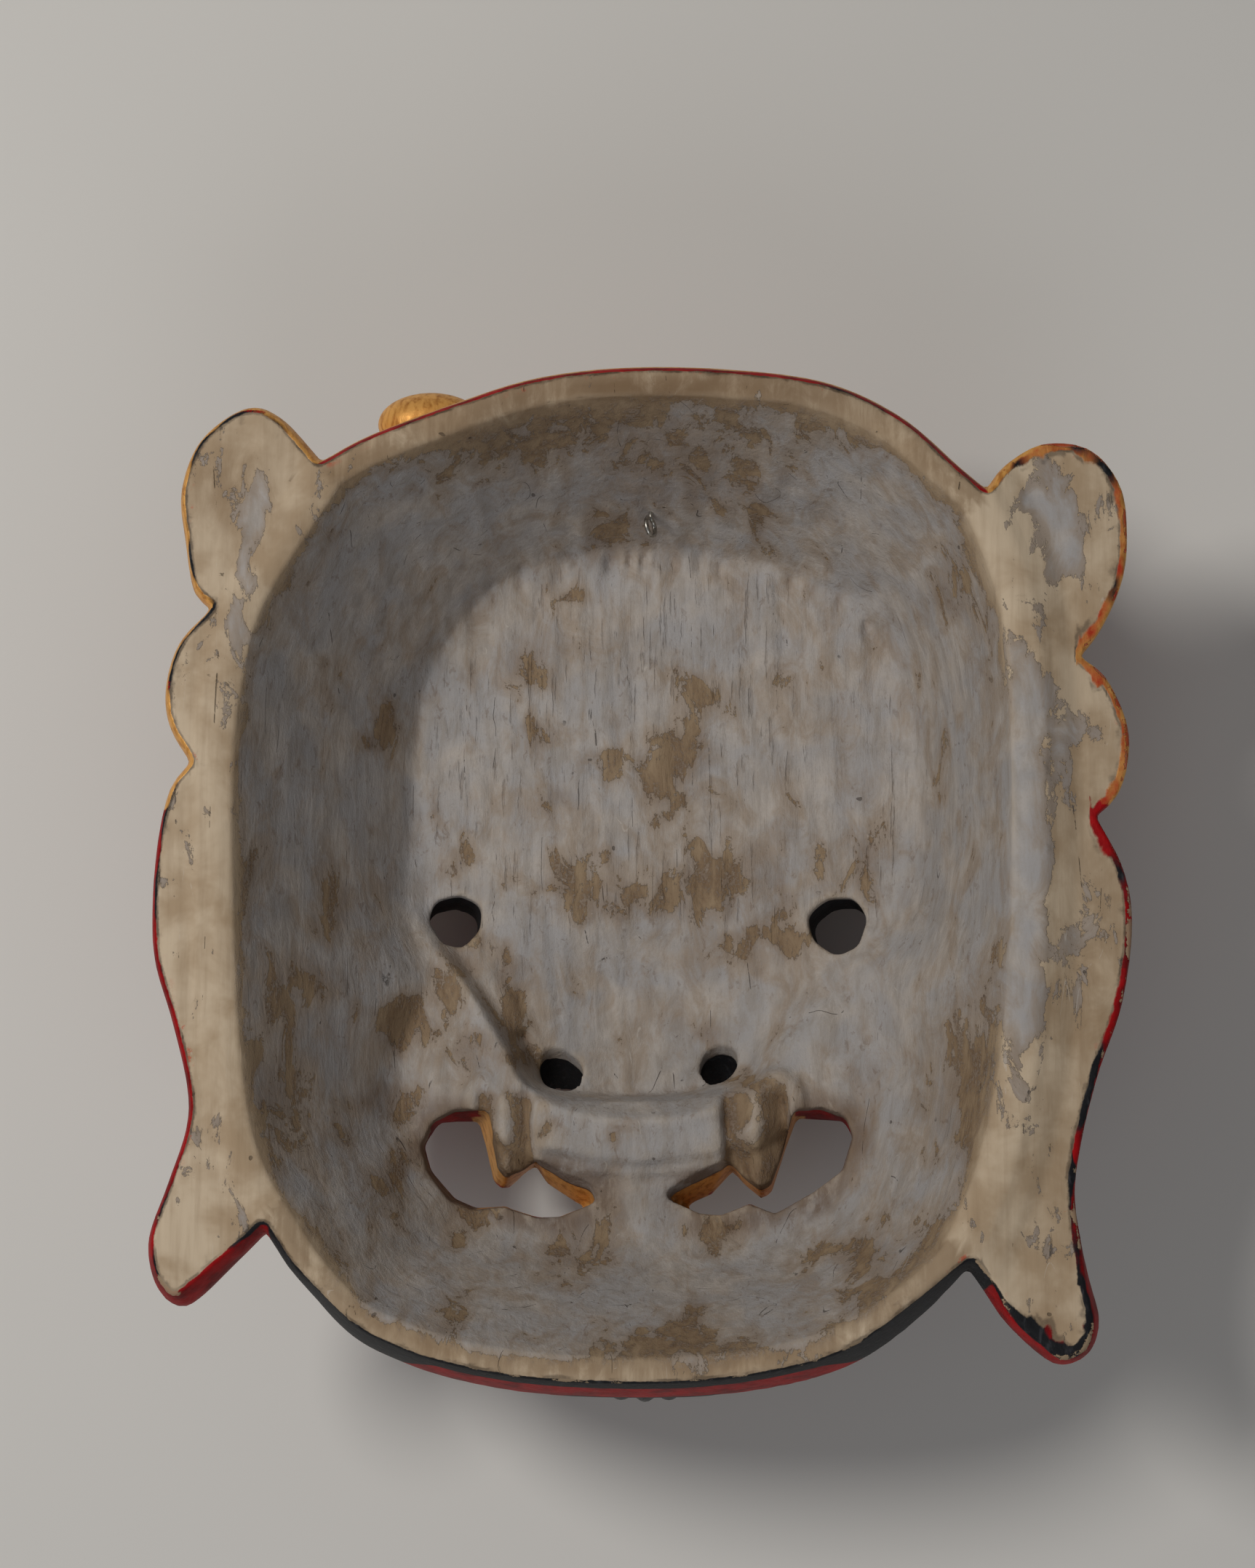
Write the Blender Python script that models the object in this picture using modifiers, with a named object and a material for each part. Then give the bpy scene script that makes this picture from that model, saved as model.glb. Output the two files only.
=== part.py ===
"""A carved and painted wooden mask of a wrathful protector, lying face down, with its screw eye.

The mask is one piece of wood: a face with a crown of skulls and flaming ears on the front, hollowed
out from the back, with holes for the eyes, nostrils and mouth. A small steel screw eye in the upper
wall of the hollow hangs it. Metres, +Z up: the face looks down, the hollow opens upward, +Y is the
top of the head. The mask rests on the flat tips of its nose and skulls, and its rim is level.

Places in the carving are written in millimetres on the mask as drawn, 300 wide, 319 high and 132
deep, and follow WIDTH, HEIGHT and DEPTH. A depth is measured down from the plane of the rim.
"""

import math

import bmesh
import bpy
import numpy as np
from mathutils import Matrix, Vector

# Driving sizes, in metres
WIDTH = 0.300
HEIGHT = 0.319
DEPTH = 0.132
RIM_WIDTH = 0.009
EAR_THICKNESS = 0.022
SIDE_DEPTH = 0.035
HOLLOW_DEPTH = 0.086
NOSE_HOLLOW_DEPTH = 0.108
FACE_WALL = 0.010
EDGE_DRAFT = 0.0022
EDGE_REACH = 0.007
JAW_DRAFT = 0.0042
JAW_REACH = 0.030
EAR_TIP_DRAFT = 0.0028
EAR_BACK_DROP = 0.0015
RIGHT_EAR_EXTRA_DROP = 0.004
LEFT_EYE_HOLE = 0.0170
RIGHT_EYE_HOLE = 0.0188
LEFT_NOSTRIL_HOLE = 0.014
RIGHT_NOSTRIL_HOLE = 0.0125
EYE_RING = 0.0078
EYE_WIRE = 0.0015
EYE_SHANK = 0.0105
EYE_STAND = 0.0015
CLEARANCE = 0.0003

# The mask as drawn, in millimetres, and how much larger the real one is
DRAWN = (300.0, 319.0, 132.0)
KX = WIDTH * 1000 / DRAWN[0]
KY = HEIGHT * 1000 / DRAWN[1]
KZ = DEPTH * 1000 / DRAWN[2]
MM = 0.001

# Mesh sizes, in millimetres, and the triangles that the finished mask may have
CURVE_STEP = 3.0
GRID_STEP = 2.4
VOXEL = 2.2
MARGIN = 6.0
ABOVE_RIM = 6.0
FLAT_WITHIN = 0.0003
ROUND_SIDES = 20
WIRE_TURNS = 22
BODY_TRIANGLES = 20000
CUTTER_TRIANGLES = 12000
MASK_TRIANGLES = 9000

# The outline seen from the back, each run going clockwise from notch to notch
CROWN_RUN = [(-99, 131), (-84, 139), (-57, 149), (-32, 156.5), (-4, 159.5), (28, 158.5), (58, 154),
             (81, 143), (99, 127), (107, 120)]
RIGHT_CURL_RUN = [(107, 120), (113, 127.5), (125, 134), (139, 132), (148, 121), (150, 107), (148.5, 92),
                  (142, 77), (135, 68)]
RIGHT_CURL_2_RUN = [(135, 68), (143, 61), (149, 47), (149, 35), (145.5, 25), (139, 19)]
RIGHT_EAR_RUN = [(139, 19), (147, 3), (149.5, -14), (146, -38), (138.5, -59), (133, -80), (131, -97),
                 (134.5, -117), (138.5, -131.5), (135.5, -142), (127, -146), (119, -142), (108, -130.5),
                 (99, -117)]
JAW_RUN = [(99, -117), (84.5, -132.5), (66, -145.5), (45, -152.5), (15, -156.5), (-20, -156.5), (-48, -153.5),
           (-73.5, -146.5), (-94, -134.5), (-114, -106)]
LEFT_EAR_RUN = [(-114, -106), (-123, -115), (-138.5, -129), (-147.5, -124), (-150, -110), (-144, -92),
                (-138.5, -75), (-138.5, -62), (-143.5, -42), (-149, -24), (-150, -6), (-148.5, 14),
                (-145, 29), (-139, 37)]
LEFT_CURL_2_RUN = [(-139, 37), (-145.5, 48), (-147, 60), (-143, 74), (-133, 85)]
LEFT_CURL_RUN = [(-133, 85), (-138.5, 90), (-141.5, 106), (-143, 122), (-137, 138), (-123, 148),
                 (-112, 145), (-99, 131)]
OUTLINE_RUNS = [CROWN_RUN, RIGHT_CURL_RUN, RIGHT_CURL_2_RUN, RIGHT_EAR_RUN, JAW_RUN, LEFT_EAR_RUN,
                LEFT_CURL_2_RUN, LEFT_CURL_RUN]

# The sides of the head, where the ears grow from it
RIGHT_SIDE_RUN = [(107, 120), (113, 107), (119, 88), (122.5, 62), (123, 16), (121.5, -25), (118, -60),
                  (110, -92), (99, -117)]
LEFT_SIDE_RUN = [(-114, -106), (-122, -93), (-128.5, -74), (-132.5, -44), (-134.5, -8), (-135, 30),
                 (-133, 60), (-127, 86), (-113, 110), (-99, 131)]
HEAD_RUNS = [CROWN_RUN, RIGHT_SIDE_RUN, JAW_RUN, LEFT_SIDE_RUN]

# The deep floor of the hollow: the forehead, narrowing like a shield to the back of the nose
FLOOR_RUN = [(-79, 20), (-77, 65), (-64, 92), (-45, 108), (-8, 116), (31, 112), (67, 99), (84, 75),
             (88, 40), (84, 0), (62, -27), (42, -50), (30, -61), (-5, -65), (-36, -62), (-47, -47),
             (-60, -27), (-76, -6), (-79, 20)]

# Mouth openings. Each back outline pairs point by point with the one at the front, where the
# fangs and teeth reach further down than their raw backs
LEFT_MOUTH_BACK = [(-62.5, -68), (-70, -72), (-73.5, -80), (-71, -88.5), (-64, -97.5),
                   (-57, -100.5), (-46.5, -99.5), (-36, -103), (-28, -102.5), (-16, -97.5),
                   (-19, -91.5), (-28, -88.5), (-36, -84), (-40.5, -87.5), (-45.5, -89), (-48, -86),
                   (-49.5, -78.5), (-51.5, -69)]
LEFT_MOUTH_FRONT = [(-64, -72), (-70, -72.5), (-74.5, -80), (-72, -88.5), (-65, -97), (-58, -100),
                    (-48, -99.5), (-37, -103), (-30.5, -103), (-19, -100), (-24, -98.5), (-34, -92),
                    (-38, -86), (-42.5, -89.5), (-48.5, -94), (-51.5, -91.5), (-54, -80.5),
                    (-56.5, -72)]
RIGHT_MOUTH_BACK = [(55.5, -67.5), (63, -70.5), (65.5, -77), (62.5, -87.5), (53, -94.5),
                    (40.5, -101.5), (32, -98.5), (23, -102), (16.5, -101.5), (5, -96.5), (6, -93.5),
                    (15, -89), (25.5, -84), (30.5, -89.5), (35.5, -93), (39, -91.5), (43, -81.5),
                    (46.5, -69)]
RIGHT_MOUTH_FRONT = [(55.5, -71.5), (63, -72), (65.5, -77), (62, -88), (53, -95), (40.5, -102),
                     (32, -98.5), (22.5, -102.5), (16.5, -102), (9, -99.5), (11.5, -99),
                     (19.5, -95.5), (26.5, -88), (30.5, -92.5), (36, -97), (39, -95), (43.5, -81.5),
                     (47.5, -71)]

# The depths at which the mouth openings have their back and front outlines
MOUTH_DEPTHS = (71, 88)

# Round holes, as (x, y, depth) inside the hollow and at the front, with their diameters
HOLES = [((-61.8, -4.9, 70), (-71.8, -10.9, 140), LEFT_EYE_HOLE),
         ((59.8, -7.4, 70), (65.8, -11.4, 140), RIGHT_EYE_HOLE),
         ((-30.6, -48.2, 80), (-28.6, -75.2, 124), LEFT_NOSTRIL_HOLE),
         ((22, -46, 80), (22, -73, 124), RIGHT_NOSTRIL_HOLE)]

# The screw eye's foot on the wall, as (x, y, depth), the way it points and its turn about its shank
SCREW_EYE_FOOT = (1.0, 124.7, 62)
SCREW_EYE_RISE = 0.41
SCREW_EYE_TURN = math.radians(24)

# The front is symmetric about this line
MIDDLE = -4.0

# Depth of the face without its features, from the chin to the top, and of the hollow behind the cheeks
FACE_HEIGHTS = (-160, -130, -100, -70, -40, 0, 40, 90, 130, 160)
FACE_DEPTHS = (66, 78, 88, 93, 97, 102, 103, 101, 96, 90)
CHEEK_HEIGHTS = (-140, -100, -75, -50, 0, 30)
CHEEK_SHARES = (0.79, 0.81, 0.80, 0.85, 0.96, 1.0)

# Shares of its reach at which the draft of the edge is drawn, from the front to the rim
DRAFT_STEPS = (1.0, 0.7, 0.4, 0.2, 0.08, 0.0)

# Bosses that stand outside the outline, as centre (x, y, depth) and radii
CROWN_CURL = ((-67, 146.5, 27), (17, 10, 13))
GOATEE = ((MIDDLE + 4, -151, 46), (17, 8.5, 22))

# The skulls of the crown, as (x from the middle, y, height), and the curls, as (x, y, radius)
SKULLS = [(0, 116, 40), (-38, 110, 41), (38, 110, 41), (-72, 93, 44), (72, 93, 44)]
CURLS = [(-121, 120, 21), (-136, 61, 13), (129, 108, 22), (134, 45, 17)]


def smooth_step(low, high, value):
    """0 below low, 1 above high, smooth between; low may be the larger."""
    t = np.clip((value - low) / (high - low), 0.0, 1.0)
    return t * t * (3.0 - 2.0 * t)


def soft_min(a, b, k):
    """The smaller of two heights, rounded where they meet over about k."""
    h = np.clip(0.5 + 0.5 * (b - a) / k, 0.0, 1.0)
    return b + (a - b) * h - k * h * (1.0 - h)


def soft_max(a, b, k):
    return -soft_min(-a, -b, k)


def quarter_round(t):
    """A quarter of a circle, rising steeply from 0 at t = 0 to 1 at t = 1."""
    t = np.clip(t, 0.0, 1.0)
    return np.sqrt(1.0 - (1.0 - t) ** 2)


def smooth_curve(points, step=CURVE_STEP):
    """Points about a step apart on a smooth curve through the given ones, which must not close."""
    p = np.array(points, dtype=float)
    first, last = 2 * p[0] - p[1], 2 * p[-1] - p[-2]
    p = np.vstack([first, p, last])
    out = []
    for i in range(1, len(p) - 2):
        count = max(1, round(np.linalg.norm(p[i + 1] - p[i]) / step))
        for t in np.arange(count) / count:
            out.append(0.5 * (2 * p[i] + (p[i + 1] - p[i - 1]) * t
                              + (2 * p[i - 1] - 5 * p[i] + 4 * p[i + 1] - p[i + 2]) * t ** 2
                              + (3 * p[i] - 3 * p[i + 1] + p[i + 2] - p[i - 1]) * t ** 3))
    out.append(p[-2])
    return np.array(out)


def ring_of(runs):
    """One closed ring of points from runs that follow each other, at the real size."""
    pieces = [smooth_curve(run)[:-1] for run in runs]
    return np.vstack(pieces) * (KX, KY)


def distance_to_line(x, y, line, closed):
    """Distance from each place to a line of points, and how far along the line the nearest place is."""
    best = np.full(np.shape(x), np.inf)
    along = np.zeros(np.shape(x))
    ends = np.roll(line, -1, axis=0) if closed else line[1:]
    starts = line if closed else line[:-1]
    for i, ((ax, ay), (bx, by)) in enumerate(zip(starts, ends)):
        dx, dy = bx - ax, by - ay
        t = np.clip(((x - ax) * dx + (y - ay) * dy) / (dx * dx + dy * dy), 0.0, 1.0)
        gap = (x - ax - t * dx) ** 2 + (y - ay - t * dy) ** 2
        nearer = gap < best
        best = np.where(nearer, gap, best)
        along = np.where(nearer, (i + t) / len(starts), along)
    return np.sqrt(best), along


def inside_distance(x, y, ring):
    """Distance to a closed ring, positive inside it and negative outside."""
    inside = np.zeros(np.shape(x), dtype=bool)
    for (ax, ay), (bx, by) in zip(ring, np.roll(ring, -1, axis=0)):
        if ay != by:
            crosses = ((ay > y) != (by > y)) & (x < (bx - ax) * (y - ay) / (by - ay) + ax)
            inside ^= crosses
    gap, _ = distance_to_line(x, y, ring, closed=True)
    return np.where(inside, gap, -gap)


def cap(u, v, centre, radii, height):
    """A rounded boss: half an ellipsoid on the surface, 0 outside its own ellipse."""
    r2 = ((u - centre[0]) / radii[0]) ** 2 + ((v - centre[1]) / radii[1]) ** 2
    return height * np.sqrt(np.clip(1.0 - r2, 0.0, 1.0))


def drum(u, v, centre, radii, height):
    """A boss with steep sides and a broad, slightly domed top."""
    r2 = ((u - centre[0]) / radii[0]) ** 2 + ((v - centre[1]) / radii[1]) ** 2
    sides = np.sqrt(np.clip(1.0 - r2 ** 3, 0.0, 1.0))
    return height * sides * (1.0 - 0.18 * np.minimum(r2, 1.0))


def ridge(u, v, points, widths, heights):
    """A rounded ridge along a line, its half width and height changing from end to end."""
    line = smooth_curve(points)
    low, high = line.min(axis=0) - max(widths), line.max(axis=0) + max(widths)
    near = (u > low[0]) & (u < high[0]) & (v > low[1]) & (v < high[1])
    gap, along = distance_to_line(u[near], v[near], line, closed=False)
    width = widths[0] + (widths[1] - widths[0]) * along
    height = heights[0] + (heights[1] - heights[0]) * along
    relief = np.zeros(np.shape(u))
    relief[near] = height * np.sqrt(np.clip(1.0 - (gap / width) ** 2, 0.0, 1.0))
    return relief


def both_sides(points):
    """The same line on the left and on the right of the face."""
    return [[(MIDDLE + side * a, b) for a, b in points] for side in (-1, 1)]


def strongest(*reliefs):
    """The highest of several reliefs at each place."""
    return np.maximum.reduce(reliefs)


def face_plane(v):
    """Depth of the face without its features, which falls back from the brow to the chin."""
    return np.interp(v, FACE_HEIGHTS, FACE_DEPTHS)


def nose_relief(u, v):
    bridge = ridge(u, v, [(MIDDLE, 24), (MIDDLE, -8), (MIDDLE, -42)], (10, 17), (6, 22))
    tip = cap(u, v, (MIDDLE, -45), (23, 21), 28)
    wings = [cap(u, v, (MIDDLE + side * 26, -53), (17, 15), 17) for side in (-1, 1)]
    return soft_max(bridge, strongest(tip, *wings), 4)


def eye_relief(u, v):
    """The bulging eyes with their lids, and the third eye in the forehead."""
    forms = []
    for side in (-1, 1):
        forms.append(cap(u, v, (MIDDLE + side * 64, -5), (25, 18), 17))
    for line in both_sides([(92, -7), (80, 11), (63, 17), (46, 11), (33, -8)]):
        forms.append(ridge(u, v, line, (5, 5), (14, 16)))
    for line in both_sides([(92, -7), (80, -21), (63, -26), (46, -21), (33, -8)]):
        forms.append(ridge(u, v, line, (4.5, 4.5), (12, 12)))
    forms.append(cap(u, v, (MIDDLE, 60), (11, 15), 10))
    for line in both_sides([(0, 80), (13, 62), (0, 42)]):
        forms.append(ridge(u, v, line, (4, 4), (9, 9)))
    return strongest(*forms)


def brow_relief(u, v):
    """Brows that rise in flames."""
    forms = []
    for line in both_sides([(9, 20), (28, 36), (60, 39), (94, 22)]):
        forms.append(ridge(u, v, line, (8, 5), (12, 12)))
    for root, tip in (((26, 36), (24, 54)), ((44, 39), (45, 60)), ((62, 39), (67, 60)), ((80, 33), (89, 50))):
        middle = ((root[0] + tip[0]) / 2 + 3, (root[1] + tip[1]) / 2)
        for line in both_sides([root, middle, tip]):
            forms.append(ridge(u, v, line, (7, 1.5), (11, 5)))
    return strongest(*forms)


def crown_relief(u, v):
    """The band of the crown, and five skulls that lean forward over it."""
    band = ridge(u, v, [(MIDDLE + a, b) for a, b in ((-106, 58), (-84, 78), (-45, 90), (0, 94),
                                                     (45, 90), (84, 78), (106, 58))], (7, 7), (9, 9))
    forms = [band]
    for a, b, height in SKULLS:
        centre = (MIDDLE + a, b)
        skull = strongest(drum(u, v, centre, (15, 14), height),
                          drum(u, v, (centre[0], centre[1] - 11), (10, 11), height - 7))
        for side in (-1, 1):
            skull = skull - cap(u, v, (centre[0] + side * 6, centre[1] - 3), (4.5, 5), 9)
        skull = skull - cap(u, v, (centre[0], centre[1] - 10), (2.5, 4), 5)
        forms.append(skull)
    return strongest(*forms)


def mouth_relief(u, v):
    """Lips, fangs and the row of upper teeth between them."""
    forms = []
    for line in both_sides([(0, -69), (32, -63), (62, -64), (77, -76)]):
        forms.append(ridge(u, v, line, (6, 5), (15, 12)))
    for line in both_sides([(0, -108), (28, -109), (54, -104), (72, -91), (77, -76)]):
        forms.append(ridge(u, v, line, (6.5, 5), (14, 12)))
    for line in both_sides([(41, -66), (42, -80), (45, -99)]):
        forms.append(ridge(u, v, line, (9.5, 3), (21, 14)))
    teeth = 6 + 3 * np.abs(np.cos((u - MIDDLE) * math.pi / 11.5))
    row = smooth_step(39, 34, np.abs(u - MIDDLE)) * smooth_step(-101, -97, v) * smooth_step(-64, -70, v)
    forms.append(teeth * row)
    return strongest(*forms)


def beard_relief(u, v, head):
    """The chin, and the beard that follows the jaw in waves."""
    chin = cap(u, v, (MIDDLE, -126), (27, 15), 8)
    waves = 1.0 + 0.35 * np.cos(np.arctan2(u - MIDDLE, -v - 20) * 26)
    beard = 7 * np.exp(-((head - 13) / 9) ** 2) * waves * smooth_step(-45, -80, v)
    return strongest(chin, beard)


def hair_relief(u, v, head):
    """Locks of flaming hair that stream from the crown to the edge of the head."""
    angle = np.arctan2(u - MIDDLE, v + 10)
    locks = 2.5 + 2.5 * np.cos(angle * 30 + 0.5 * np.sin(head * 0.25))
    return locks * smooth_step(58, 80, v) * smooth_step(34, 20, head) * smooth_step(0, 5, head)


def ear_relief(u, v, edge):
    """Curls of gold on the upper ears, and the rim and hollow of the long red ears below."""
    relief = 2.5 * np.exp(-((edge - 5) / 3) ** 2) - 3 * smooth_step(6, 12, edge) * smooth_step(24, 10, v)
    for a, b, radius in CURLS:
        r = np.hypot(u - a, v - b)
        spiral = 2.4 * np.cos(2 * math.pi * r / (radius * 0.62) - np.arctan2(v - b, u - a))
        relief = relief + spiral * smooth_step(radius, radius * 0.8, r)
    return relief


def bare_head_depth(u, v, head):
    """Depth of the head without its features: straight sides, and a domed face with a full muzzle."""
    side = SIDE_DEPTH / MM / KZ
    muzzle = 11 * np.exp(-((u - MIDDLE) / 36) ** 2 - ((v + 50) / 32) ** 2)
    return side + (face_plane(v) - side) * quarter_round(head / 62) + muzzle


def front_depth(x, y, head_ring, outline_ring):
    """Depth of the carved front below the rim, in millimetres."""
    u, v = x / KX, y / KY
    head = inside_distance(x, y, head_ring) / KX
    edge = inside_distance(x, y, outline_ring) / KX
    behind_ear = 7 * smooth_step(-95, -130, u) * smooth_step(-110, -90, v) * smooth_step(125, 100, v)
    relief = strongest(nose_relief(u, v), eye_relief(u, v), brow_relief(u, v), crown_relief(u, v),
                       mouth_relief(u, v), cap(u, v, (MIDDLE - 51, -46), (25, 19), 12),
                       cap(u, v, (MIDDLE + 51, -46), (25, 19), 12))
    face = bare_head_depth(u, v, head - behind_ear) + relief
    face = face + hair_relief(u, v, head) + beard_relief(u, v, head)
    ear = EAR_THICKNESS / MM / KZ - 8 * (1 - quarter_round(edge / 8)) + ear_relief(u, v, edge)
    on_head = (head > behind_ear) & (head > 0)
    return np.where(on_head, face, ear) * KZ


def along_jaw(u, v):
    """1 along the jaw, 0 elsewhere."""
    return smooth_step(-108, -136, v) * smooth_step(112, 100, np.abs(u))


def hollow_depth(x, y, head_ring, floor_ring):
    """Depth of the hollow below the rim, in millimetres. Its walls run on upward outside the rim's edge."""
    u, v = x / KX, y / KY
    head = inside_distance(x, y, head_ring)
    within = head - (RIM_WIDTH + JAW_DRAFT * along_jaw(u, v)) / MM
    hollow = HOLLOW_DEPTH / MM
    into_floor = inside_distance(x, y, floor_ring)
    share = within / np.maximum(within + np.maximum(-into_floor, 0), 1)
    upper_wall = hollow * share + 2.5 * np.maximum(into_floor, 0)
    lower_wall = hollow * within / ((42 - 6 * np.clip(u / 110, -1, 1)) * KX)
    wall = lower_wall + (upper_wall - lower_wall) * smooth_step(-60, -15, v)
    cheek = hollow * np.interp(v, CHEEK_HEIGHTS, CHEEK_SHARES)
    behind_nose = smooth_step(4, -48, v) * np.exp(-((u - MIDDLE) / 28) ** 2)
    channel = hollow + (NOSE_HOLLOW_DEPTH / MM - hollow) * behind_nose
    softness = 4 + 13 * smooth_step(10, 60, u) * smooth_step(40, -20, v)
    floor = cheek + (channel - cheek) * smooth_step(-softness * 0.4, softness, into_floor / KX)
    lip = ridge(u, v, [(-50, -66), (-28, -76), (-5, -79), (20, -76), (40, -66)], (11, 11), (5, 5))
    crest = ridge(u, v, [(-62, -18), (-50, -38), (-42, -56)], (7, 9), (1.5, 5))
    rounding = 2.5 + 13 * smooth_step(20, 90, u) + 16 * smooth_step(-30, -110, v)
    depth = soft_min(wall, floor - strongest(lip, crest), rounding)
    depth = soft_min(depth, bare_head_depth(u, v, head / KX) * KZ - FACE_WALL / MM, 4)
    return np.maximum(depth, -2 * ABOVE_RIM)


def rim_depth(x, y, head_ring):
    """How far the raw back lies below the rim's plane: 0 on the head, a little on the ears."""
    head = inside_distance(x, y, head_ring)
    drop = EAR_BACK_DROP + RIGHT_EAR_EXTRA_DROP * smooth_step(90, 130, x / KX)
    return drop / MM * smooth_step(0, -12 * KX, head)


def new_object(name, mesh, collection):
    obj = bpy.data.objects.new(name, mesh)
    collection.objects.link(obj)
    return obj


def new_mesh_object(name, bm, collection):
    bmesh.ops.recalc_face_normals(bm, faces=bm.faces)
    mesh = bpy.data.meshes.new(name)
    bm.to_mesh(mesh)
    bm.free()
    return new_object(name, mesh, collection)


def as_guide(obj):
    """Keeps an object that only shapes others out of the finished model."""
    obj.hide_render = True
    obj.display_type = "WIRE"
    return obj


def new_material(name, color, roughness, metallic):
    material = bpy.data.materials.new(name)
    material.use_nodes = True
    surface = material.node_tree.nodes["Principled BSDF"]
    surface.inputs["Base Color"].default_value = color
    surface.inputs["Roughness"].default_value = roughness
    surface.inputs["Metallic"].default_value = metallic
    return material


def settle(obj):
    """Makes an object's modifiers into its mesh."""
    graph = bpy.context.evaluated_depsgraph_get()
    mesh = bpy.data.meshes.new_from_object(obj.evaluated_get(graph))
    obj.modifiers.clear()
    obj.data = mesh


def thin_out(obj, triangles):
    """Merges the smallest faces until about this many triangles are left."""
    obj.data.calc_loop_triangles()
    have = len(obj.data.loop_triangles)
    if have > triangles:
        modifier = obj.modifiers.new("Fewer faces", "DECIMATE")
        modifier.ratio = triangles / have
        modifier.use_collapse_triangulate = True
        settle(obj)


def flatten(obj):
    """Makes the rim, and the tips that the mask rests on, exactly flat."""
    for vert in obj.data.vertices:
        if vert.co.z < FLAT_WITHIN:
            vert.co.z = 0.0
        elif abs(vert.co.z - DEPTH) < FLAT_WITHIN:
            vert.co.z = DEPTH


def combine(obj, other, operation):
    modifier = obj.modifiers.new(operation.title(), "BOOLEAN")
    modifier.operation = operation
    modifier.object = other
    settle(obj)


def field_block(name, depth_at, far_depth, collection):
    """A block whose near face is a carved surface and whose far face is flat."""
    half_x = WIDTH / MM / 2 + MARGIN
    half_y = HEIGHT / MM / 2 + MARGIN
    bm = bmesh.new()
    columns, rows = round(2 * half_x / GRID_STEP), round(2 * half_y / GRID_STEP)
    bmesh.ops.create_grid(bm, x_segments=columns, y_segments=rows, size=1.0)
    places = np.array([v.co for v in bm.verts])
    x, y = places[:, 0] * half_x, places[:, 1] * half_y
    depth = depth_at(x, y)
    for vert, a, b, c in zip(bm.verts, x, y, depth):
        vert.co = (a * MM, b * MM, DEPTH - c * MM)
    border = [edge for edge in bm.edges if edge.is_boundary]
    skirt = bmesh.ops.extrude_edge_only(bm, edges=border)["geom"]
    for vert in (item for item in skirt if isinstance(item, bmesh.types.BMVert)):
        vert.co.z = DEPTH - far_depth * MM
    bmesh.ops.holes_fill(bm, edges=[edge for edge in bm.edges if edge.is_boundary], sides=0)
    return new_mesh_object(name, bm, collection)


def loft(name, rings, collection):
    """A closed solid through rings of as many points each, given as (points, height) from the bottom up."""
    bm = bmesh.new()
    layers = []
    for points, z in rings:
        layers.append([bm.verts.new((a * MM, b * MM, z)) for a, b in points])
    count = len(layers[0])
    for low, high in zip(layers, layers[1:]):
        for i in range(count):
            bm.faces.new((low[i], low[(i + 1) % count], high[(i + 1) % count], high[i]))
    bm.faces.new(layers[0])
    bm.faces.new(layers[-1])
    bmesh.ops.triangulate(bm, faces=[face for face in bm.faces if len(face.verts) > 4])
    return new_mesh_object(name, bm, collection)


def pulled_in(ring, amounts):
    """A ring moved inward by an amount at each point."""
    tangent = np.roll(ring, -1, axis=0) - np.roll(ring, 1, axis=0)
    tangent /= np.linalg.norm(tangent, axis=1)[:, None]
    inward = np.column_stack([tangent[:, 1], -tangent[:, 0]])
    return ring + inward * np.reshape(amounts, (-1, 1))


def silhouette_prism(ring, collection):
    """The outline through the whole depth, narrower toward the rim, most of all along the jaw."""
    u, v = ring[:, 0] / KX, ring[:, 1] / KY
    jaw = along_jaw(u, v)
    ear_tip = smooth_step(-100, -132, v) * smooth_step(104, 118, np.abs(u))
    draft = (EDGE_DRAFT + JAW_DRAFT * jaw + EAR_TIP_DRAFT * ear_tip) / MM
    reach = EDGE_REACH + (JAW_REACH - EDGE_REACH) * np.maximum(jaw, 0.4 * ear_tip)
    rings = [(ring, -ABOVE_RIM * MM)]
    for step in DRAFT_STEPS:
        depth = JAW_REACH * step
        share = np.clip(1 - depth / reach, 0, 1) ** 1.5
        rings.append((pulled_in(ring, draft * share), DEPTH - depth))
    rings.append((rings[-1][0], DEPTH + ABOVE_RIM * MM))
    return loft("outline prism", rings, collection)


def ellipsoid(name, centre, radii, collection):
    """A rounded boss of its own, at a place and depth as drawn."""
    bm = bmesh.new()
    bmesh.ops.create_uvsphere(bm, u_segments=24, v_segments=16, radius=1.0)
    x, y, depth = centre
    for vert in bm.verts:
        a, b, c = vert.co
        vert.co = ((x + a * radii[0]) * KX * MM, (y + b * radii[1]) * KY * MM,
                   DEPTH - (depth - c * radii[2]) * KZ * MM)
    return new_mesh_object(name, bm, collection)


def drawn_place(x, y, depth):
    """A place as drawn, in metres."""
    return Vector((x * KX * MM, y * KY * MM, DEPTH - depth * KZ * MM))


def tunnel(name, start, end, diameter, collection):
    """A round cutter from one place to another."""
    bm = bmesh.new()
    line = end - start
    turn = line.to_track_quat("Z", "Y").to_matrix().to_4x4()
    bmesh.ops.create_cone(bm, cap_ends=True, segments=ROUND_SIDES, radius1=diameter / 2, radius2=diameter / 2,
                          depth=line.length, matrix=Matrix.Translation((start + end) / 2) @ turn)
    return as_guide(new_mesh_object(name, bm, collection))


def mouth_cutter(name, back, front, collection):
    """A mouth opening that changes from its outline at the back to the one at the front."""
    def scaled(points):
        return [(a * KX, b * KY) for a, b in points]
    back_z, front_z = (DEPTH - depth * KZ * MM for depth in MOUTH_DEPTHS)
    rings = [(scaled(front), -ABOVE_RIM * MM), (scaled(front), front_z),
             (scaled(back), back_z), (scaled(back), DEPTH + ABOVE_RIM * MM)]
    return as_guide(loft(name, rings, collection))


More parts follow.
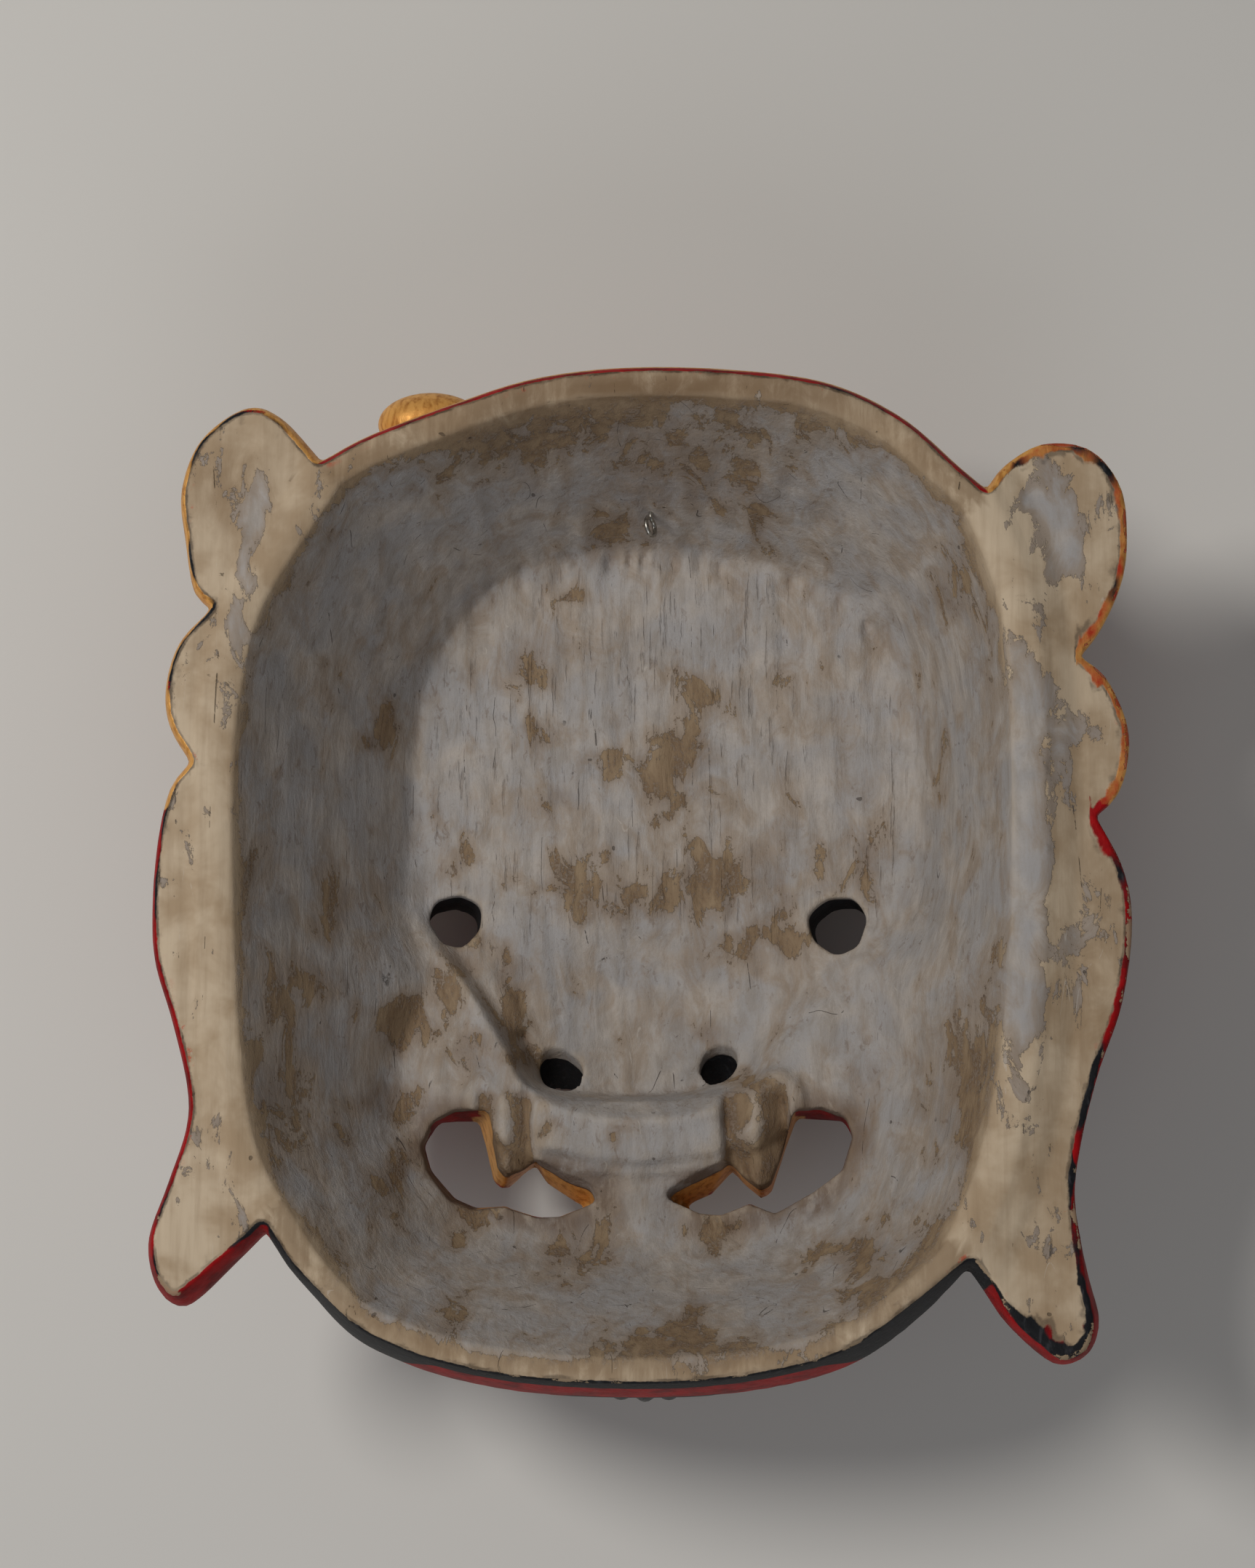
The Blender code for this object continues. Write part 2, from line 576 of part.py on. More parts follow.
def screw_eye_frame():
    """Where the screw eye meets the wall, and the directions out of the wall and across its ring."""
    foot = drawn_place(*SCREW_EYE_FOOT)
    out = Vector((0, -1, SCREW_EYE_RISE)).normalized()
    along_wall = Vector((1, 0, 0)).cross(out)
    across = Matrix.Rotation(SCREW_EYE_TURN, 3, out) @ along_wall
    return foot, out, across.normalized()


def screw_eye_centre():
    foot, out, _ = screw_eye_frame()
    return foot + out * (EYE_STAND + EYE_RING / 2)


def build_screw_eye(collection):
    """A bent wire: a straight shank in the wood, and a ring that stops just short of the shank."""
    foot, out, across = screw_eye_frame()
    radius = (EYE_RING - EYE_WIRE) / 2
    centre = screw_eye_centre()
    points = [foot - out * EYE_SHANK, foot, centre - out * radius * 1.12]
    gap_angle = (EYE_WIRE + CLEARANCE) / radius
    for i in range(WIRE_TURNS + 1):
        angle = gap_angle * 0.45 + (2 * math.pi - gap_angle * 1.5) * i / WIRE_TURNS
        points.append(centre - out * radius * math.cos(angle) + across * radius * math.sin(angle))
    curve = bpy.data.curves.new("screw_eye", "CURVE")
    curve.dimensions = "3D"
    curve.bevel_depth = EYE_WIRE / 2
    curve.bevel_resolution = 2
    curve.use_fill_caps = True
    spline = curve.splines.new("POLY")
    spline.points.add(len(points) - 1)
    for item, place in zip(spline.points, points):
        item.co = (*place, 1.0)
    return new_object("screw_eye", curve, collection)


def build_mask(collection, guides):
    outline = ring_of(OUTLINE_RUNS)
    head = ring_of(HEAD_RUNS)
    floor = ring_of([FLOOR_RUN])

    def front_at(x, y):
        return front_depth(x, y, head, outline)

    def rim_at(x, y):
        return rim_depth(x, y, head)

    def hollow_at(x, y):
        return hollow_depth(x, y, head, floor)

    mask = field_block("mask", front_at, -ABOVE_RIM, collection)
    prism = as_guide(silhouette_prism(outline, guides))
    combine(mask, prism, "INTERSECT")
    bosses = [ellipsoid("crown curl", *CROWN_CURL, guides), ellipsoid("goatee", *GOATEE, guides)]
    for boss in bosses:
        combine(mask, as_guide(boss), "UNION")
    remesh = mask.modifiers.new("Even faces", "REMESH")
    remesh.mode = "VOXEL"
    remesh.voxel_size = VOXEL * MM
    smooth = mask.modifiers.new("Worn edges", "SMOOTH")
    smooth.factor = 0.5
    smooth.iterations = 2
    settle(mask)
    flatten(mask)
    thin_out(mask, BODY_TRIANGLES)
    combine(mask, as_guide(field_block("back of rim and ears", rim_at, -2 * ABOVE_RIM, guides)), "DIFFERENCE")
    hollow = as_guide(field_block("hollow", hollow_at, -3 * ABOVE_RIM, guides))
    thin_out(hollow, CUTTER_TRIANGLES)
    combine(mask, hollow, "DIFFERENCE")
    cutters = [mouth_cutter("left mouth", LEFT_MOUTH_BACK, LEFT_MOUTH_FRONT, guides),
               mouth_cutter("right mouth", RIGHT_MOUTH_BACK, RIGHT_MOUTH_FRONT, guides)]
    for start, end, diameter in HOLES:
        cutters.append(tunnel("hole", drawn_place(*start), drawn_place(*end), diameter, guides))
    for cutter in cutters:
        combine(mask, cutter, "DIFFERENCE")
    thin_out(mask, MASK_TRIANGLES)
    flatten(mask)
    foot, out, _ = screw_eye_frame()
    pilot = tunnel("screw hole", foot - out * (EYE_SHANK + CLEARANCE), foot + out * EYE_RING,
                   EYE_WIRE + 2 * CLEARANCE, guides)
    combine(mask, pilot, "DIFFERENCE")
    return mask


def main():
    for obj in list(bpy.data.objects):
        bpy.data.objects.remove(obj)
    parts = bpy.data.collections.new("mahakala mask")
    guides = bpy.data.collections.new("cutters")
    bpy.context.scene.collection.children.link(parts)
    bpy.context.scene.collection.children.link(guides)
    mask = build_mask(parts, guides)
    mask.data.shade_smooth()
    mask.data.materials.clear()
    mask.data.materials.append(new_material("washed wood", (0.30, 0.27, 0.23, 1.0), 0.8, 0.0))
    screw_eye = build_screw_eye(parts)
    screw_eye.data.materials.append(new_material("plated steel wire", (0.42, 0.41, 0.38, 1.0), 0.35, 1.0))


main()
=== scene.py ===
"""The looks of the carved mask: its fine carving, its paint and raw wood, and its bent-wire screw eye.

Places in the carving are in millimetres, seen from the back of the mask: x to the right, y to the top
of the head, and a depth measured down from the plane of the rim. The finished mesh is set exactly
into the box of the solid that it stands for.
"""

import math

import bmesh
import bpy
import numpy as np
from mathutils import Matrix, Vector


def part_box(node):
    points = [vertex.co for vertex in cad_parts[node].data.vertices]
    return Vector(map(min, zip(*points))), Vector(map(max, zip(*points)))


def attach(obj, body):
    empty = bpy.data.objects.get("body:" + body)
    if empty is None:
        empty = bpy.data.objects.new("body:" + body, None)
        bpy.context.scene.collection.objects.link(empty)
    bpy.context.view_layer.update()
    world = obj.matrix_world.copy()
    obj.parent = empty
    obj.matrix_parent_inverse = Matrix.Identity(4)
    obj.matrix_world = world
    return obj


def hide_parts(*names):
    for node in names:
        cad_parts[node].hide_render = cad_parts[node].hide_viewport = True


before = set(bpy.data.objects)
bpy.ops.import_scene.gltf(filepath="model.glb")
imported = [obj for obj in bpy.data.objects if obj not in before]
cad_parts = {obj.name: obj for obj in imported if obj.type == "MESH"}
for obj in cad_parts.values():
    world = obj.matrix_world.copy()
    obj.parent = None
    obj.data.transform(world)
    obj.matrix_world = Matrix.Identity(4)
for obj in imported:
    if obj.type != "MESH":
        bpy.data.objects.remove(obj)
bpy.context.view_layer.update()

# The mask, in millimetres
WIDTH, HEIGHT, DEPTH = 300.0, 319.0, 132.0
RIM_WIDTH = 9.0
EAR_THICKNESS = 22.0
SIDE_DEPTH = 35.0
HOLLOW_DEPTH = 86.0
NOSE_HOLLOW_DEPTH = 108.0
FACE_WALL = 10.0
EDGE_DRAFT = 2.8
EDGE_REACH = 7.0
JAW_DRAFT = 3.8
JAW_REACH = 30.0
EAR_TIP_DRAFT = 2.6
LEFT_EYE_HOLE = 17.0
RIGHT_EYE_HOLE = 18.8
LEFT_NOSTRIL_HOLE = 14.0
RIGHT_NOSTRIL_HOLE = 12.5
PAINT_TURN = 1.1
MM = 0.001

# Mesh sizes, in millimetres
CURVE_STEP = 3.0
GRID_STEP = 1.2
VOXEL = 1.15
MARGIN = 6.0
ABOVE_RIM = 6.0
TRIANGLES = 194000
PRISM_DEPTHS = (DEPTH + ABOVE_RIM, 30.0, 24.0, 18.0, 12.0, 8.0, 5.5, 3.5, 2.0, 1.0, 0.0, -ABOVE_RIM)

# No stroke, oval or hole is measured farther outside than this
FAR_OUTSIDE = -9.0

# The outline seen from the back, each run going clockwise from notch to notch
CROWN_RUN = [
    (-99, 131), (-84, 139), (-57, 149), (-32, 156.5), (-4, 159.5), (28, 158.5), (58, 154), (81, 143),
    (99, 127), (107, 120)]
RIGHT_CURL_RUN = [
    (107, 120), (113, 127.5), (125, 134), (139, 132), (148, 121), (150, 107), (148.5, 92), (142, 77),
    (135, 68)]
RIGHT_CURL_2_RUN = [(135, 68), (143, 61), (149, 47), (149, 35), (145.5, 25), (139, 19)]
RIGHT_EAR_RUN = [
    (139, 19), (147, 3), (149.5, -14), (146, -38), (138.5, -59), (133, -80), (131, -97), (134.5, -117),
    (138.5, -131.5), (135.5, -142), (127, -146), (119, -142), (108, -130.5), (99, -117)]
JAW_RUN = [
    (99, -117), (84.5, -132.5), (66, -145.5), (45, -152.5), (15, -156.5), (-20, -156.5), (-48, -153.5),
    (-73.5, -146.5), (-94, -134.5), (-114, -106)]
LEFT_EAR_RUN = [
    (-114, -106), (-123, -115), (-138.5, -129), (-147.5, -124), (-150, -110), (-144, -92), (-138.5, -75),
    (-138.5, -62), (-143.5, -42), (-149, -24), (-150, -6), (-148.5, 14), (-145, 29), (-139, 37)]
LEFT_CURL_2_RUN = [(-139, 37), (-145.5, 48), (-147, 60), (-143, 74), (-133, 85)]
LEFT_CURL_RUN = [
    (-133, 85), (-138.5, 90), (-141.5, 106), (-143, 122), (-137, 138), (-123, 148), (-112, 145), (-99, 131)]
RIGHT_SIDE_RUN = [
    (107, 120), (113, 107), (119, 88), (122.5, 62), (123, 16), (121.5, -25), (118, -60), (110, -92),
    (99, -117)]
LEFT_SIDE_RUN = [
    (-114, -106), (-122, -93), (-128.5, -74), (-132.5, -44), (-134.5, -8), (-135, 30), (-133, 60),
    (-127, 86), (-113, 110), (-99, 131)]
FLOOR_RUN = [
    (-79, 20), (-77, 65), (-64, 92), (-45, 108), (-8, 116), (31, 112), (67, 99), (84, 75), (88, 40),
    (84, 0), (62, -27), (42, -50), (30, -61), (-5, -65), (-36, -62), (-47, -47), (-60, -27), (-76, -6),
    (-79, 20)]

# Mouth openings: each outline at the back pairs point by point with the one at the front
LEFT_MOUTH_BACK = [
    (-62.5, -68), (-70, -72), (-73.5, -80), (-71, -88.5), (-64, -97.5), (-57, -100.5), (-46.5, -99.5),
    (-36, -103), (-28, -102.5), (-16, -97.5), (-19, -91.5), (-28, -88.5), (-36, -84), (-40.5, -87.5),
    (-45.5, -89), (-48, -86), (-49.5, -78.5), (-51.5, -69)]
LEFT_MOUTH_FRONT = [
    (-64, -72), (-70, -72.5), (-74.5, -80), (-72, -88.5), (-65, -97), (-58, -100), (-48, -99.5),
    (-37, -103), (-30.5, -103), (-19, -100), (-24, -98.5), (-34, -92), (-38, -86), (-42.5, -89.5),
    (-48.5, -94), (-51.5, -91.5), (-54, -80.5), (-56.5, -72)]
RIGHT_MOUTH_BACK = [
    (55.5, -67.5), (63, -70.5), (65.5, -77), (62.5, -87.5), (53, -94.5), (40.5, -101.5), (32, -98.5),
    (23, -102), (16.5, -101.5), (5, -96.5), (6, -93.5), (15, -89), (25.5, -84), (30.5, -89.5), (35.5, -93),
    (39, -91.5), (43, -81.5), (46.5, -69)]
RIGHT_MOUTH_FRONT = [
    (55.5, -71.5), (63, -72), (65.5, -77), (62, -88), (53, -95), (40.5, -102), (32, -98.5), (22.5, -102.5),
    (16.5, -102), (9, -99.5), (11.5, -99), (19.5, -95.5), (26.5, -88), (30.5, -92.5), (36, -97), (39, -95),
    (43.5, -81.5), (47.5, -71)]
MOUTH_DEPTHS = (71.0, 88.0)

# The raw backs of the fangs, as their middle at the root and at the tip, and their half width
FANG_BACKS = [(-46.5, -45.5, 7.0), (34.0, 35.5, 9.0)]

# Holes, as (x, y, depth) inside the hollow and at the front, with their diameters
EYE_TUNNELS = [((-61.8, -4.9, 70), (-71.8, -10.9, 140), LEFT_EYE_HOLE),
               ((59.8, -7.4, 70), (65.8, -11.4, 140), RIGHT_EYE_HOLE)]
NOSTRIL_TUNNELS = [((-30.6, -48.2, 80), (-28.6, -75.2, 124), LEFT_NOSTRIL_HOLE),
                   ((22, -46, 80), (22, -73, 124), RIGHT_NOSTRIL_HOLE)]

# Depths of the cheeks inside the hollow, at heights from the chin up
CHEEK_HEIGHTS = (-140, -100, -75, -50, 0, 30)
CHEEK_DEPTHS = (68, 70, 69, 73, 82.5, 86)

# Carved lines in the hollow: the lip with its groove and ledge, and the crest and cut at the left nostril
LIP = [(-50, -66), (-28, -76), (-5, -79), (20, -76), (40, -66)]
LIP_GROOVE = [(-36, -82), (-22, -85), (-4, -87), (16, -85), (28, -82)]
LIP_LEDGE = [(-33, -67), (-18, -71), (-4, -72), (12, -71), (26, -67)]
CREST = [(-62, -18), (-50, -38), (-42, -56)]
NOSTRIL_CUT = [(-42, -44), (-38, -52), (-34, -58)]

# The front is symmetric about this line
MIDDLE = -4.0

# Depths of the bare face, at heights from the chin up, and the depth that only the face reaches
FACE_HEIGHTS = (-160, -130, -100, -70, -40, 0, 40, 90, 130, 160)
FACE_DEPTHS = (66, 78, 88, 93, 97, 102, 103, 101, 96, 90)
FACE_FROM = 60.0

# Middles of the eyes, of the third eye and of the goatee
EYES = [(MIDDLE + side * 64, -5) for side in (-1, 1)]
THIRD_EYE = (MIDDLE, 60)
GOATEE = MIDDLE + 4

# Carved lines of the front, for one side of the face
BROW = [(9, 20), (28, 36), (60, 39), (94, 22)]
BROW_FLAMES = [((26, 36), (24, 54)), ((44, 39), (45, 60)), ((62, 39), (67, 60)), ((80, 33), (89, 50))]
UPPER_LID = [(92, -7), (80, 11), (63, 17), (46, 11), (33, -8)]
LOWER_LID = [(92, -7), (80, -21), (63, -26), (46, -21), (33, -8)]
THIRD_EYE_LID = [(0, 80), (13, 62), (0, 42)]
UPPER_LIP = [(0, -69), (32, -63), (62, -64), (77, -76)]
LOWER_LIP = [(0, -108), (28, -109), (54, -104), (72, -91), (77, -76)]
FANG = [(41, -66), (42, -80), (45, -99)]
CHEEK_FOLD = [(28, -38), (46, -30), (70, -34), (90, -52)]
CROWN_BAND = [(-106, 58), (-84, 78), (-45, 90), (0, 94), (45, 90), (84, 78), (106, 58)]
CROWN_LINE = [(MIDDLE + a, b) for a, b in CROWN_BAND]

# Skulls as x, y and how far they stand out, and curls as x, y and radius
SKULLS = [(0, 116, 40), (-38, 110, 41), (38, 110, 41), (-72, 93, 44), (72, 93, 44)]
CURLS = [(-121, 120, 21), (-136, 61, 13), (129, 108, 22), (134, 45, 17)]

# Bosses outside the outline, as centre (x, y, depth) and radii
CROWN_CURL = ((-67, 146.5, 27), (17, 10, 13))
GOATEE_LOCKS = [((GOATEE + 7.4 * i, -151.6 + 0.45 * i * i, 46), (4.9, 7.4, 20)) for i in range(-2, 3)]

# Where the raw back has lost its grey wash, as x, y, half width, half height and strength
STAINS = [
    (-22, 141, 34, 9, 0.6), (6, 133, 26, 12, 0.55), (-10, 118, 14, 7, 0.6), (36, 128, 13, 9, 0.6),
    (100, -70, 10, 30, 0.55), (96, 96, 8, 14, 0.45), (-112, -60, 10, 30, 0.4), (88, -112, 14, 12, 0.5),
    (10, 47, 10, 11, 0.9), (6, 32, 4, 4, 0.6), (-38, 53, 9, 5, 0.7), (-39, 75, 14, 8, 0.55),
    (-29, 100, 8, 5, 0.55), (-34, 32, 12, 8, 0.45), (-5, 2, 25, 8, 0.75), (22, 9, 17, 12, 0.8),
    (37, -15, 15, 9, 0.8), (43, -1, 6, 10, 0.7), (-31, 6, 10, 8, 0.6), (-64, 17, 5, 10, 0.5),
    (-71, 33, 3, 10, 0.6), (-86, 57, 4, 8, 0.7), (-80, -42, 8, 6, 1), (-46, -30, 6, 14, 0.8),
    (-59, -16, 8, 8, 0.6), (17, -43, 8, 5, 0.6), (15, 68, 8, 9, 0.6), (-16, 42, 8, 3, 0.5),
    (69, 11, 8, 12, 0.55), (-68, -30, 8, 8, 0.55), (-99, -5, 8, 15, 0.45), (-104, -28, 12, 13, 0.45),
    (-82, -69, 14, 8, 0.7), (-80, -90, 6, 9, 0.6), (-57, -104, 9, 5, 0.7), (-22, -116, 14, 10, 0.55),
    (22, -109, 12, 6, 0.55), (11, -139, 22, 6, 0.75), (-59, -132, 8, 6, 0.45), (-7, -80, 4, 8, 0.65),
    (69, -72, 6, 18, 0.6), (67, -115, 13, 8, 0.6), (-30, -73, 9, 3, 0.5), (-61, -51, 12, 6, 0.55),
    (-47, -56, 8, 5, 0.6), (35, -60, 14, 3, 0.5)]

# Grey wash on the backs of the ears and on the rim
EAR_WASH = [
    (126, 108, 14, 22, 1), (-118, 118, 7, 17, 0.95), (-121, 98, 7, 14, 0.9), (-122, 78, 4, 13, 0.85),
    (-139, -10, 5, 50, 0.35), (128, -30, 9, 30, 0.5), (-139, -88, 5, 16, 0.7), (116, 16, 11, 85, 1.1),
    (129, 36, 6, 20, 0.9), (133, -20, 7, 22, 0.8), (-126, 60, 5, 22, 0.35), (122, -112, 8, 14, 0.35)]

# Where the raw wood of the rim and the ears is browner, and painted shade laid on as brown on the top of the
# rim and on the right ear
BROWN_WOOD_AND_SHADE = [
    (-124, 122, 16, 18, 0.8), (138, -18, 12, 60, 0.7), (130, -80, 8, 30, 0.4), (0, 153, 80, 8, 1),
    (-120, 60, 10, 40, 0.3)]

# Browned wood around the mouth openings, as x, y, half width and half height
MOUTH_STAINS = [(-64, -84, 15, 19), (55, -84, 16, 20), (-31, -96, 22, 12), (26, -97, 22, 11)]


def ramp(low, high, value):
    """0 below low, 1 above high, smooth between; low may be the larger."""
    t = np.clip((value - low) / (high - low), 0.0, 1.0)
    return t * t * (3.0 - 2.0 * t)


def bell(value, width):
    """1 where the value is 0, falling away on both sides over about the width."""
    return np.exp(-(value / width) ** 2)


def soft_min(a, b, k):
    """The smaller of two heights, rounded where they meet over about k."""
    h = np.clip(0.5 + 0.5 * (b - a) / k, 0.0, 1.0)
    return b + (a - b) * h - k * h * (1.0 - h)


def quarter_round(t):
    """A quarter of a circle, rising steeply from 0 at t = 0 to 1 at t = 1."""
    t = np.clip(t, 0.0, 1.0)
    return np.sqrt(1.0 - (1.0 - t) ** 2)


def smooth_curve(points, step=CURVE_STEP):
    """Points about a step apart on a smooth curve through the given ones, which must not close."""
    p = np.array(points, dtype=float)
    p = np.vstack([2 * p[0] - p[1], p, 2 * p[-1] - p[-2]])
    out = []
    for i in range(1, len(p) - 2):
        count = max(1, round(np.linalg.norm(p[i + 1] - p[i]) / step))
        for t in np.arange(count) / count:
            out.append(0.5 * (2 * p[i] + (p[i + 1] - p[i - 1]) * t
                              + (2 * p[i - 1] - 5 * p[i] + 4 * p[i + 1] - p[i + 2]) * t ** 2
                              + (3 * p[i] - 3 * p[i + 1] + p[i + 2] - p[i - 1]) * t ** 3))
    out.append(p[-2])
    return np.array(out)


def ring_of(*runs):
    """One closed ring of points from runs that follow each other."""
    return np.vstack([smooth_curve(run)[:-1] for run in runs])


OUTLINE = ring_of(CROWN_RUN, RIGHT_CURL_RUN, RIGHT_CURL_2_RUN, RIGHT_EAR_RUN, JAW_RUN, LEFT_EAR_RUN,
                  LEFT_CURL_2_RUN, LEFT_CURL_RUN)
HEAD = ring_of(CROWN_RUN, RIGHT_SIDE_RUN, JAW_RUN, LEFT_SIDE_RUN)
FLOOR = ring_of(FLOOR_RUN)


def distance_to_line(x, y, line, closed):
    """Distance from each place to a line of points, and how far along the line the nearest place is."""
    best = np.full(np.shape(x), np.inf)
    along = np.zeros(np.shape(x))
    ends = np.roll(line, -1, axis=0) if closed else line[1:]
    starts = line if closed else line[:-1]
    for i, ((ax, ay), (bx, by)) in enumerate(zip(starts, ends)):
        dx, dy = bx - ax, by - ay
        t = np.clip(((x - ax) * dx + (y - ay) * dy) / (dx * dx + dy * dy), 0.0, 1.0)
        gap = (x - ax - t * dx) ** 2 + (y - ay - t * dy) ** 2
        nearer = gap < best
        best = np.where(nearer, gap, best)
        along = np.where(nearer, (i + t) / len(starts), along)
    return np.sqrt(best), along


def inside_distance(x, y, ring):
    """Distance to a closed ring, positive inside it and negative outside."""
    inside = np.zeros(np.shape(x), dtype=bool)
    for (ax, ay), (bx, by) in zip(ring, np.roll(ring, -1, axis=0)):
        if ay != by:
            inside ^= ((ay > y) != (by > y)) & (x < (bx - ax) * (y - ay) / (by - ay) + ax)
    gap, _ = distance_to_line(x, y, ring, closed=True)
    return np.where(inside, gap, -gap)


def rough(x, y, step_x, step_y, seed):
    """Smooth random heights from -1 to 1 on cells of step_x by step_y, the same on every run."""
    cells = np.random.default_rng(seed).uniform(-1.0, 1.0, (64, 64))
    a, b = x / step_x + 32.0, y / step_y + 32.0
    i, j = np.floor(a).astype(int), np.floor(b).astype(int)
    s, t = ramp(0.0, 1.0, a - i), ramp(0.0, 1.0, b - j)
    low = cells[i % 64, j % 64] * (1 - s) + cells[(i + 1) % 64, j % 64] * s
    high = cells[i % 64, (j + 1) % 64] * (1 - s) + cells[(i + 1) % 64, (j + 1) % 64] * s
    return low * (1 - t) + high * t


def oval(u, v, centre, radii):
    """How far inside an oval each place is, in millimetres at its narrow side; negative outside."""
    r = np.hypot((u - centre[0]) / radii[0], (v - centre[1]) / radii[1])
    return np.maximum((1.0 - r) * min(radii), FAR_OUTSIDE)


def stroke(u, v, points, widths):
    """How far inside a stroke along a line each place is, and how far along it, negative outside."""
    line = smooth_curve(points)
    reach = max(widths) - FAR_OUTSIDE
    inside = np.full(np.shape(u), FAR_OUTSIDE)
    along = np.zeros(np.shape(u))
    near = ((u > line[:, 0].min() - reach) & (u < line[:, 0].max() + reach)
            & (v > line[:, 1].min() - reach) & (v < line[:, 1].max() + reach))
    gap, t = distance_to_line(u[near], v[near], line, closed=False)
    inside[near] = np.maximum(widths[0] + (widths[1] - widths[0]) * t - gap, FAR_OUTSIDE)
    along[near] = t
    return inside, along


def cap(u, v, centre, radii, height):
    """A rounded boss: half an ellipsoid on the surface, 0 outside its own ellipse."""
    r2 = ((u - centre[0]) / radii[0]) ** 2 + ((v - centre[1]) / radii[1]) ** 2
    return height * np.sqrt(np.clip(1.0 - r2, 0.0, 1.0))


def drum(u, v, centre, radii, height):
    """A boss with steep sides and a broad, slightly domed top."""
    r2 = ((u - centre[0]) / radii[0]) ** 2 + ((v - centre[1]) / radii[1]) ** 2
    sides = np.sqrt(np.clip(1.0 - r2 ** 3, 0.0, 1.0))
    return height * sides * (1.0 - 0.18 * np.minimum(r2, 1.0))


def ridge(u, v, points, widths, heights):
    """A rounded ridge along a line, its half width and height changing from end to end."""
    inside, t = stroke(u, v, points, widths)
    width = widths[0] + (widths[1] - widths[0]) * t
    height = heights[0] + (heights[1] - heights[0]) * t
    return height * np.sqrt(np.clip(1.0 - (1.0 - inside / width) ** 2, 0.0, 1.0)) * (inside > 0)


def both_sides(points):
    """The same line on the left and on the right of the face."""
    return [[(MIDDLE + side * a, b) for a, b in points] for side in (-1, 1)]


def strongest(*reliefs):
    """The highest of several reliefs at each place."""
    return np.maximum.reduce(reliefs)


def ridges(u, v, points, widths, heights):
    """A ridge on the left of the face and the same on the right."""
    return [ridge(u, v, line, widths, heights) for line in both_sides(points)]


def in_strokes(x, y, lines, widths):
    """How far inside the nearest of several strokes each place is."""
    return strongest(*[stroke(x, y, line, widths)[0] for line in lines])


def brow_strokes():
    """Every stroke of the brows: the arch, and the flames that rise from it, with their half widths."""
    strokes = [(line, (8, 5), (12, 12)) for line in both_sides(BROW)]
    for root, tip in BROW_FLAMES:
        middle = ((root[0] + tip[0]) / 2 + 3, (root[1] + tip[1]) / 2)
        strokes += [(line, (7, 1.5), (11, 5)) for line in both_sides([root, middle, tip])]
    return strokes


def finials():
    """A leaf of gold above each skull."""
    return [[(MIDDLE + a, b + 10), (MIDDLE + a * 1.04, b + 20), (MIDDLE + a * 1.02, b + 29)]
            for a, b, _ in SKULLS]


def nose_relief(u, v):
    """The nose: a folded bridge, a round tip and wings."""
    bridge = ridge(u, v, [(MIDDLE, 24), (MIDDLE, -8), (MIDDLE, -42)], (10, 17), (6, 22))
    tip = cap(u, v, (MIDDLE, -45), (23, 21), 28)
    wings = [cap(u, v, (MIDDLE + side * 26, -53), (17, 15), 17) for side in (-1, 1)]
    nose = -soft_min(-bridge, -strongest(tip, *wings), 4)
    arches = [[(MIDDLE - 13, b - 3), (MIDDLE, b + 2), (MIDDLE + 13, b - 3)] for b in (2, 10, 18, 26)]
    folds = [ridge(u, v, arch, (2.6, 2.6), (2.2, 2.2)) for arch in arches]
    return nose + strongest(*folds)


def eye_relief(u, v):
    """The bulging eyes with their lids, and the third eye in the forehead."""
    forms = [cap(u, v, eye, (25, 18), 17) for eye in EYES]
    forms += ridges(u, v, UPPER_LID, (5, 5), (14, 16)) + ridges(u, v, LOWER_LID, (4.5, 4.5), (12, 12))
    forms.append(cap(u, v, THIRD_EYE, (11, 15), 10) + cap(u, v, THIRD_EYE, (4.5, 6), 2))
    forms += ridges(u, v, THIRD_EYE_LID, (4, 4), (9, 9))
    eyes = strongest(*forms)
    for _, (a, b, _), _ in EYE_TUNNELS:
        eyes = eyes - 1.2 * bell(np.hypot(u - a - 2, v - b - 1) - 11.0, 0.9)
    return eyes


def brow_relief(u, v):
    """Brows that rise in flames, grooved along their length."""
    forms = []
    for line, widths, heights in brow_strokes():
        inside, _ = stroke(u, v, line, widths)
        groove = 0.9 * np.cos(np.clip(inside, 0, 8) * 2 * math.pi / 3.0) * (inside > 0.8)
        forms.append(ridge(u, v, line, widths, heights) + groove)
    return strongest(*forms)


def skull_relief(u, v, a, b, height):
    """One small skull, with sockets, a nose and a row of teeth."""
    centre = (MIDDLE + a, b)
    skull = strongest(drum(u, v, centre, (15, 14), height),
                      drum(u, v, (centre[0], b - 11), (10, 11), height - 7))
    for side in (-1, 1):
        skull = skull - cap(u, v, (centre[0] + side * 6, b - 3), (4.5, 5), 9)
    skull = skull - cap(u, v, (centre[0], b - 10), (2.5, 4), 5)
    jaw = ramp(b - 21, b - 19, v) * ramp(b - 13, b - 15, v) * (abs(u - centre[0]) < 8)
    teeth = 1.4 * np.abs(np.cos((u - centre[0]) * math.pi / 3.2)) ** 6
    line = 1.4 * bell(v - b + 17, 0.7)
    return skull - (skull > 5) * jaw * strongest(teeth, line)


def crown_relief(u, v):
    """The beaded band of the crown, and five skulls that lean forward over it, each under a leaf."""
    inside, _ = stroke(u, v, CROWN_LINE, (7, 7))
    forms = [ridge(u, v, CROWN_LINE, (7, 7), (9, 9)) - 1.6 * bell(inside - 1.6, 0.7)]
    forms += [cap(u, v, bead, (3.9, 3.9), 12) for bead in smooth_curve(CROWN_LINE, 1.0)[4::9]]
    for line in finials():
        inside, _ = stroke(u, v, line, (8, 1.5))
        leaf = ridge(u, v, line, (8, 1.5), (16, 12)) - 1.3 * np.cos(inside * 2.2) * (inside > 1)
        forms.append(leaf)
    forms += [skull_relief(u, v, *skull) for skull in SKULLS]
    return strongest(*forms)


